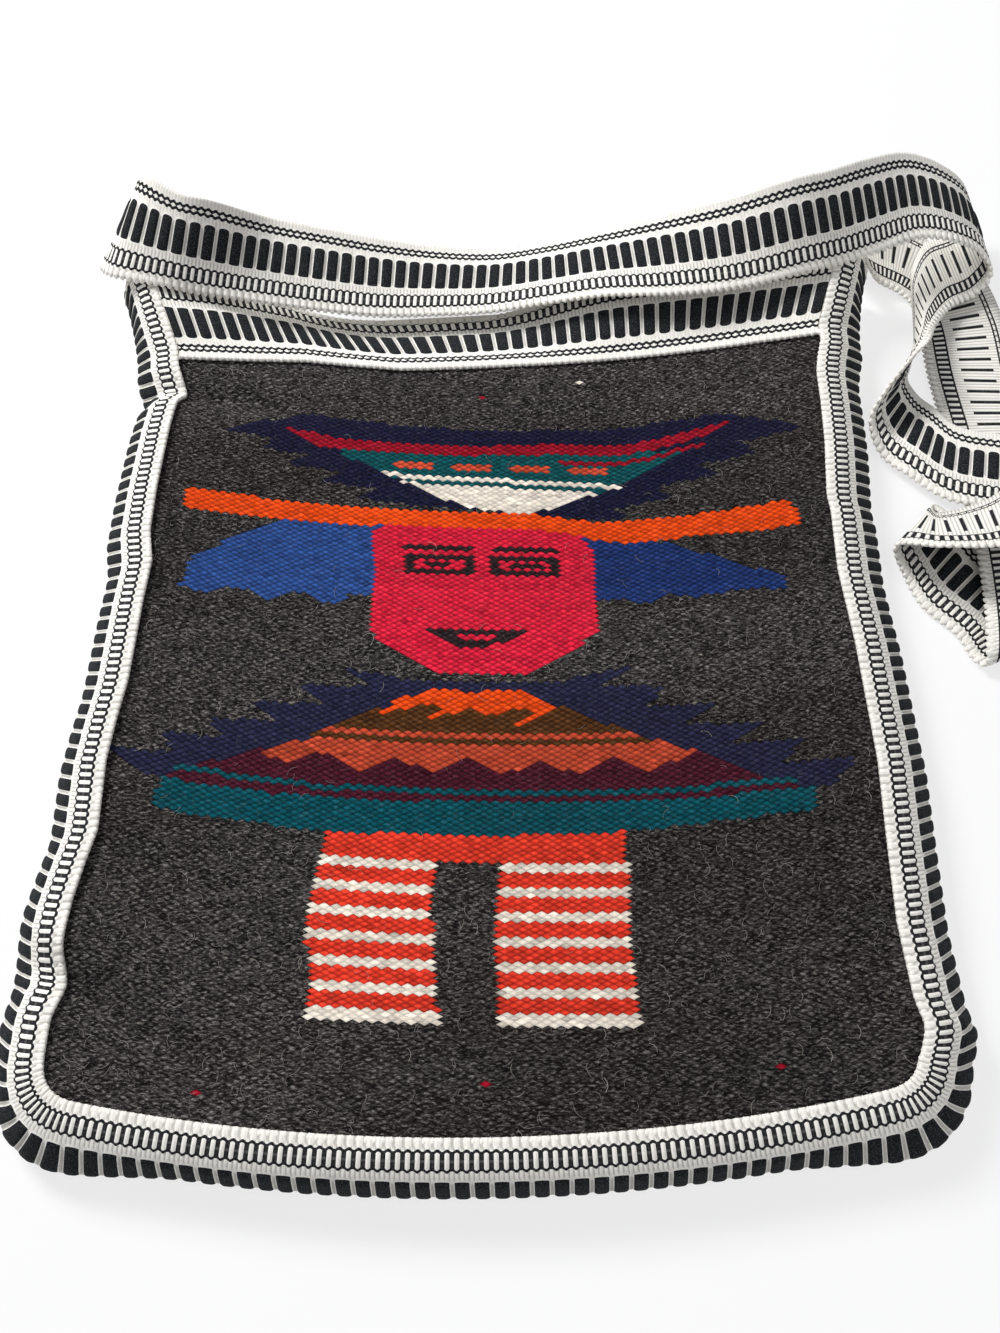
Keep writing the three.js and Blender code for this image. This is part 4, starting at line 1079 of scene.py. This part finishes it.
def strap_sheet():
    ladder, chain = stop_edges()
    # The ends follow the gusset's ends, which have moved with the lie of the bag.
    for side in (-1, 1):
        anchor = np.array([side * (HALF_WIDTH + MOUTH_FLARE), MOUTH, SEAM_HEIGHT], dtype=float)
        shift = lie(anchor) - anchor
        for k, share in enumerate(END_SHARES):
            index = k if side < 0 else -1 - k
            ladder[index] += shift * share
            chain[index] += shift * share
    return np.stack([catmull_through(chain), catmull_through(ladder)], axis=1)


route = strap_sheet()
route, strap_length = even_rows(route, route.mean(axis=1))
strap, strap_edges = band_strip("shoulder_strap_cloth", route)
print("strap length", round(strap_length), "mm")

# %% [markdown]
# What repeats is set out by Geometry Nodes. Group is such a tree with named inputs. It is run on an object,
# and the mesh it makes then takes the place of the object's own.

# %% Geometry Nodes helper


class Group(Nodes):
    """A Geometry Nodes tree with named inputs, one of them the finish."""

    def __init__(self, name, **inputs):
        super().__init__(bpy.data.node_groups.new(name, "GeometryNodeTree"))
        sockets = self.tree.interface
        sockets.new_socket("Geometry", in_out="INPUT", socket_type="NodeSocketGeometry")
        self.identifiers = {}
        for title, kind in inputs.items():
            made = sockets.new_socket(title, in_out="INPUT", socket_type="NodeSocket" + kind)
            self.identifiers[title] = made.identifier
        sockets.new_socket("Geometry", in_out="OUTPUT", socket_type="NodeSocketGeometry")
        self.given = self.node("NodeGroupInput").outputs

    def attribute(self, name, kind):
        return self.node("GeometryNodeInputNamedAttribute", {"Name": name}, data_type=kind)

    def random(self, low, high, seed):
        made = self.node("FunctionNodeRandomValue", {2: low, 3: high, "Seed": seed}, data_type="FLOAT")
        return made.outputs[1]

    def times(self, first, second):
        return self.node("ShaderNodeMath", {0: first, 1: second}, operation="MULTIPLY")

    def turn(self, rotation, angle):
        """The rotation with a further turn round its own Z axis."""
        by = self.node("FunctionNodeAxisAngleToRotation", {"Axis": (0, 0, 1), "Angle": angle})
        sockets = {"Rotation": rotation, "Rotate By": by}
        return self.node("FunctionNodeRotateRotation", sockets, rotation_space="LOCAL")

    def set_out(self, points, shape, rotation, scale):
        """A real copy of the shape at every point."""
        sockets = {"Points": points, "Instance": shape, "Rotation": rotation, "Scale": scale}
        copies = self.node("GeometryNodeInstanceOnPoints", sockets)
        return self.node("GeometryNodeRealizeInstances", {"Geometry": copies})

    def end(self, geometry):
        sockets = {"Geometry": geometry, "Material": self.given["Finish"]}
        self.node("NodeGroupOutput", {"Geometry": self.node("GeometryNodeSetMaterial", sockets)})

    def run(self, name, mesh, **values):
        host = add_object(name, mesh)
        modifier = host.modifiers.new(name, "NODES")
        modifier.node_group = self.tree
        for title, value in values.items():
            modifier[self.identifiers[title]] = value
        graph = bpy.context.evaluated_depsgraph_get()
        made = bpy.data.meshes.new_from_object(host.evaluated_get(graph))
        host.modifiers.clear()
        host.data = made
        print(f"{name}: {len(made.polygons)} faces")
        return host


print("Geometry Nodes helper ready")

# %% [markdown]
# The band's selvage shows small round loops where the weft turns back. One bead stands for each turn along
# an edge line: the line becomes a curve, is cut to even steps, and gets a bead at every step, turned along
# the line, with its flat side to the face and a slant.

# %% Selvage loops
loops = Group("selvage_loops", Step="Float", Size="Vector", Slant="Float", Finish="Material")
curve = loops.node("GeometryNodeMeshToCurve", {"Mesh": loops.given["Geometry"]})
even = loops.node("GeometryNodeResampleCurve", {"Curve": curve, "Length": loops.given["Step"]}, mode="LENGTH")
ball = loops.node("GeometryNodeMeshUVSphere", {"Segments": 8, "Rings": 5, "Radius": 1.0})
along = loops.node("GeometryNodeInputTangent")
turned = loops.node("FunctionNodeAlignRotationToVector", {"Vector": along}, axis="X")
laid = loops.node("FunctionNodeAlignRotationToVector",
                  {"Rotation": turned, "Vector": loops.attribute("facing", "FLOAT_VECTOR")},
                  axis="Z", pivot_axis="X")
beads = loops.set_out(even, ball, loops.turn(laid, loops.given["Slant"]), loops.given["Size"])
loops.end(loops.node("GeometryNodeSetShadeSmooth", {"Geometry": beads}))


def selvage(name, edge, step, bead, slant=0.0):
    """Loops of a bead's size along an edge: its line in millimetres and the direction of the face there."""
    line, facing = edge
    mesh = bpy.data.meshes.new(name)
    mesh.from_pydata((line * MM).tolist(), [(i, i + 1) for i in range(len(line) - 1)], [])
    add_attribute(mesh, "facing", "FLOAT_VECTOR", "POINT", facing)
    return loops.run(name, mesh, Step=step * MM, Size=Vector(bead) * MM, Slant=slant, Finish=selvage_cotton)


front_loops = selvage("front_mouth_selvage", front_edges["ladder"], step=3.0, bead=(1.4, 2.7, 0.95))
seam_loops = selvage("front_mouth_seam", front_edges["chain"], step=2.8, bead=(1.25, 1.8, 0.9))
back_loops = selvage("back_mouth_selvage", back_edges["ladder"], step=2.8, bead=(1.25, 1.9, 0.9))
gusset_loops = selvage("gusset_selvage", gusset_edges["ladder"], step=2.5, bead=(1.12, 1.4, 0.85))
strap_loops = selvage("strap_selvage", strap_edges["ladder"], step=3.0, bead=(1.4, 2.5, 0.95), slant=0.35)

# %% [markdown]
# Loose pale fibres stand out of the undyed wool. Points are scattered over the front panel, and a thin bent
# hair is set at each, turned and sized at random from a fixed seed.

# %% Stray fibres
FIBRE_DENSITY = 17000.0
FIBRE_LENGTH = 3.6
FIBRE_LEAST, FIBRE_MOST = 0.5, 1.4
FIBRE_TONE = linear(178, 173, 166)

strays = Group("stray_fibres", Density="Float", Length="Float", Finish="Material")
undyed = strays.times(strays.attribute("heather", "FLOAT"), strays.given["Density"])
spots = strays.node("GeometryNodeDistributePointsOnFaces",
                    {"Mesh": strays.given["Geometry"], "Density": undyed, "Seed": SEED})
hair = strays.node("GeometryNodeCurveQuadraticBezier", {
    "Resolution": 3, "Start": (-0.5, 0, 0), "Middle": (0.05, 0.4, 0.3), "End": (0.5, 0.05, 0.1)})
ring = strays.node("GeometryNodeCurvePrimitiveCircle", {"Resolution": 3, "Radius": 0.016})
tube = strays.node("GeometryNodeCurveToMesh", {"Curve": hair, "Profile Curve": ring, "Fill Caps": True})
spun = strays.turn(spots.outputs["Rotation"], strays.random(0.0, 2 * math.pi, SEED))
grown = strays.times(strays.random(FIBRE_LEAST, FIBRE_MOST, SEED + 1), strays.given["Length"])
strays.end(strays.set_out(spots, tube, spun, grown))

fibres = strays.run("front_panel_fibres", front_panel.data.copy(), Density=FIBRE_DENSITY,
                    Length=FIBRE_LENGTH * MM, Finish=cotton_finish("loose_hair", FIBRE_TONE))

# %% [markdown]
# Last, each piece is tied to the frame: it rides on the bag's only body and replaces the plain solids it
# stands for, which are hidden.

# %% Tie the pieces to the frame
band_words = ("_band", "_blocks", "_strap")
wool_nodes = [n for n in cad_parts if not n.endswith(band_words) and n != "back_panel"]
replaced = {
    front_panel: wool_nodes,
    back_panel: ["back_panel"],
    front_mouth: ["front_mouth_band", "front_mouth_blocks"],
    back_mouth: ["back_mouth_band", "back_mouth_blocks"],
    gusset: ["gusset_band", "gusset_blocks"],
    strap: ["shoulder_strap", "strap_blocks"],
}
for piece, nodes in replaced.items():
    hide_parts(*nodes)
for piece in (front_panel, back_panel, fibres):
    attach(piece, "root")
selvages = [front_loops, seam_loops, back_loops, gusset_loops, strap_loops]
for piece in [front_mouth, back_mouth, gusset, strap] + selvages:
    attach(piece, "root")
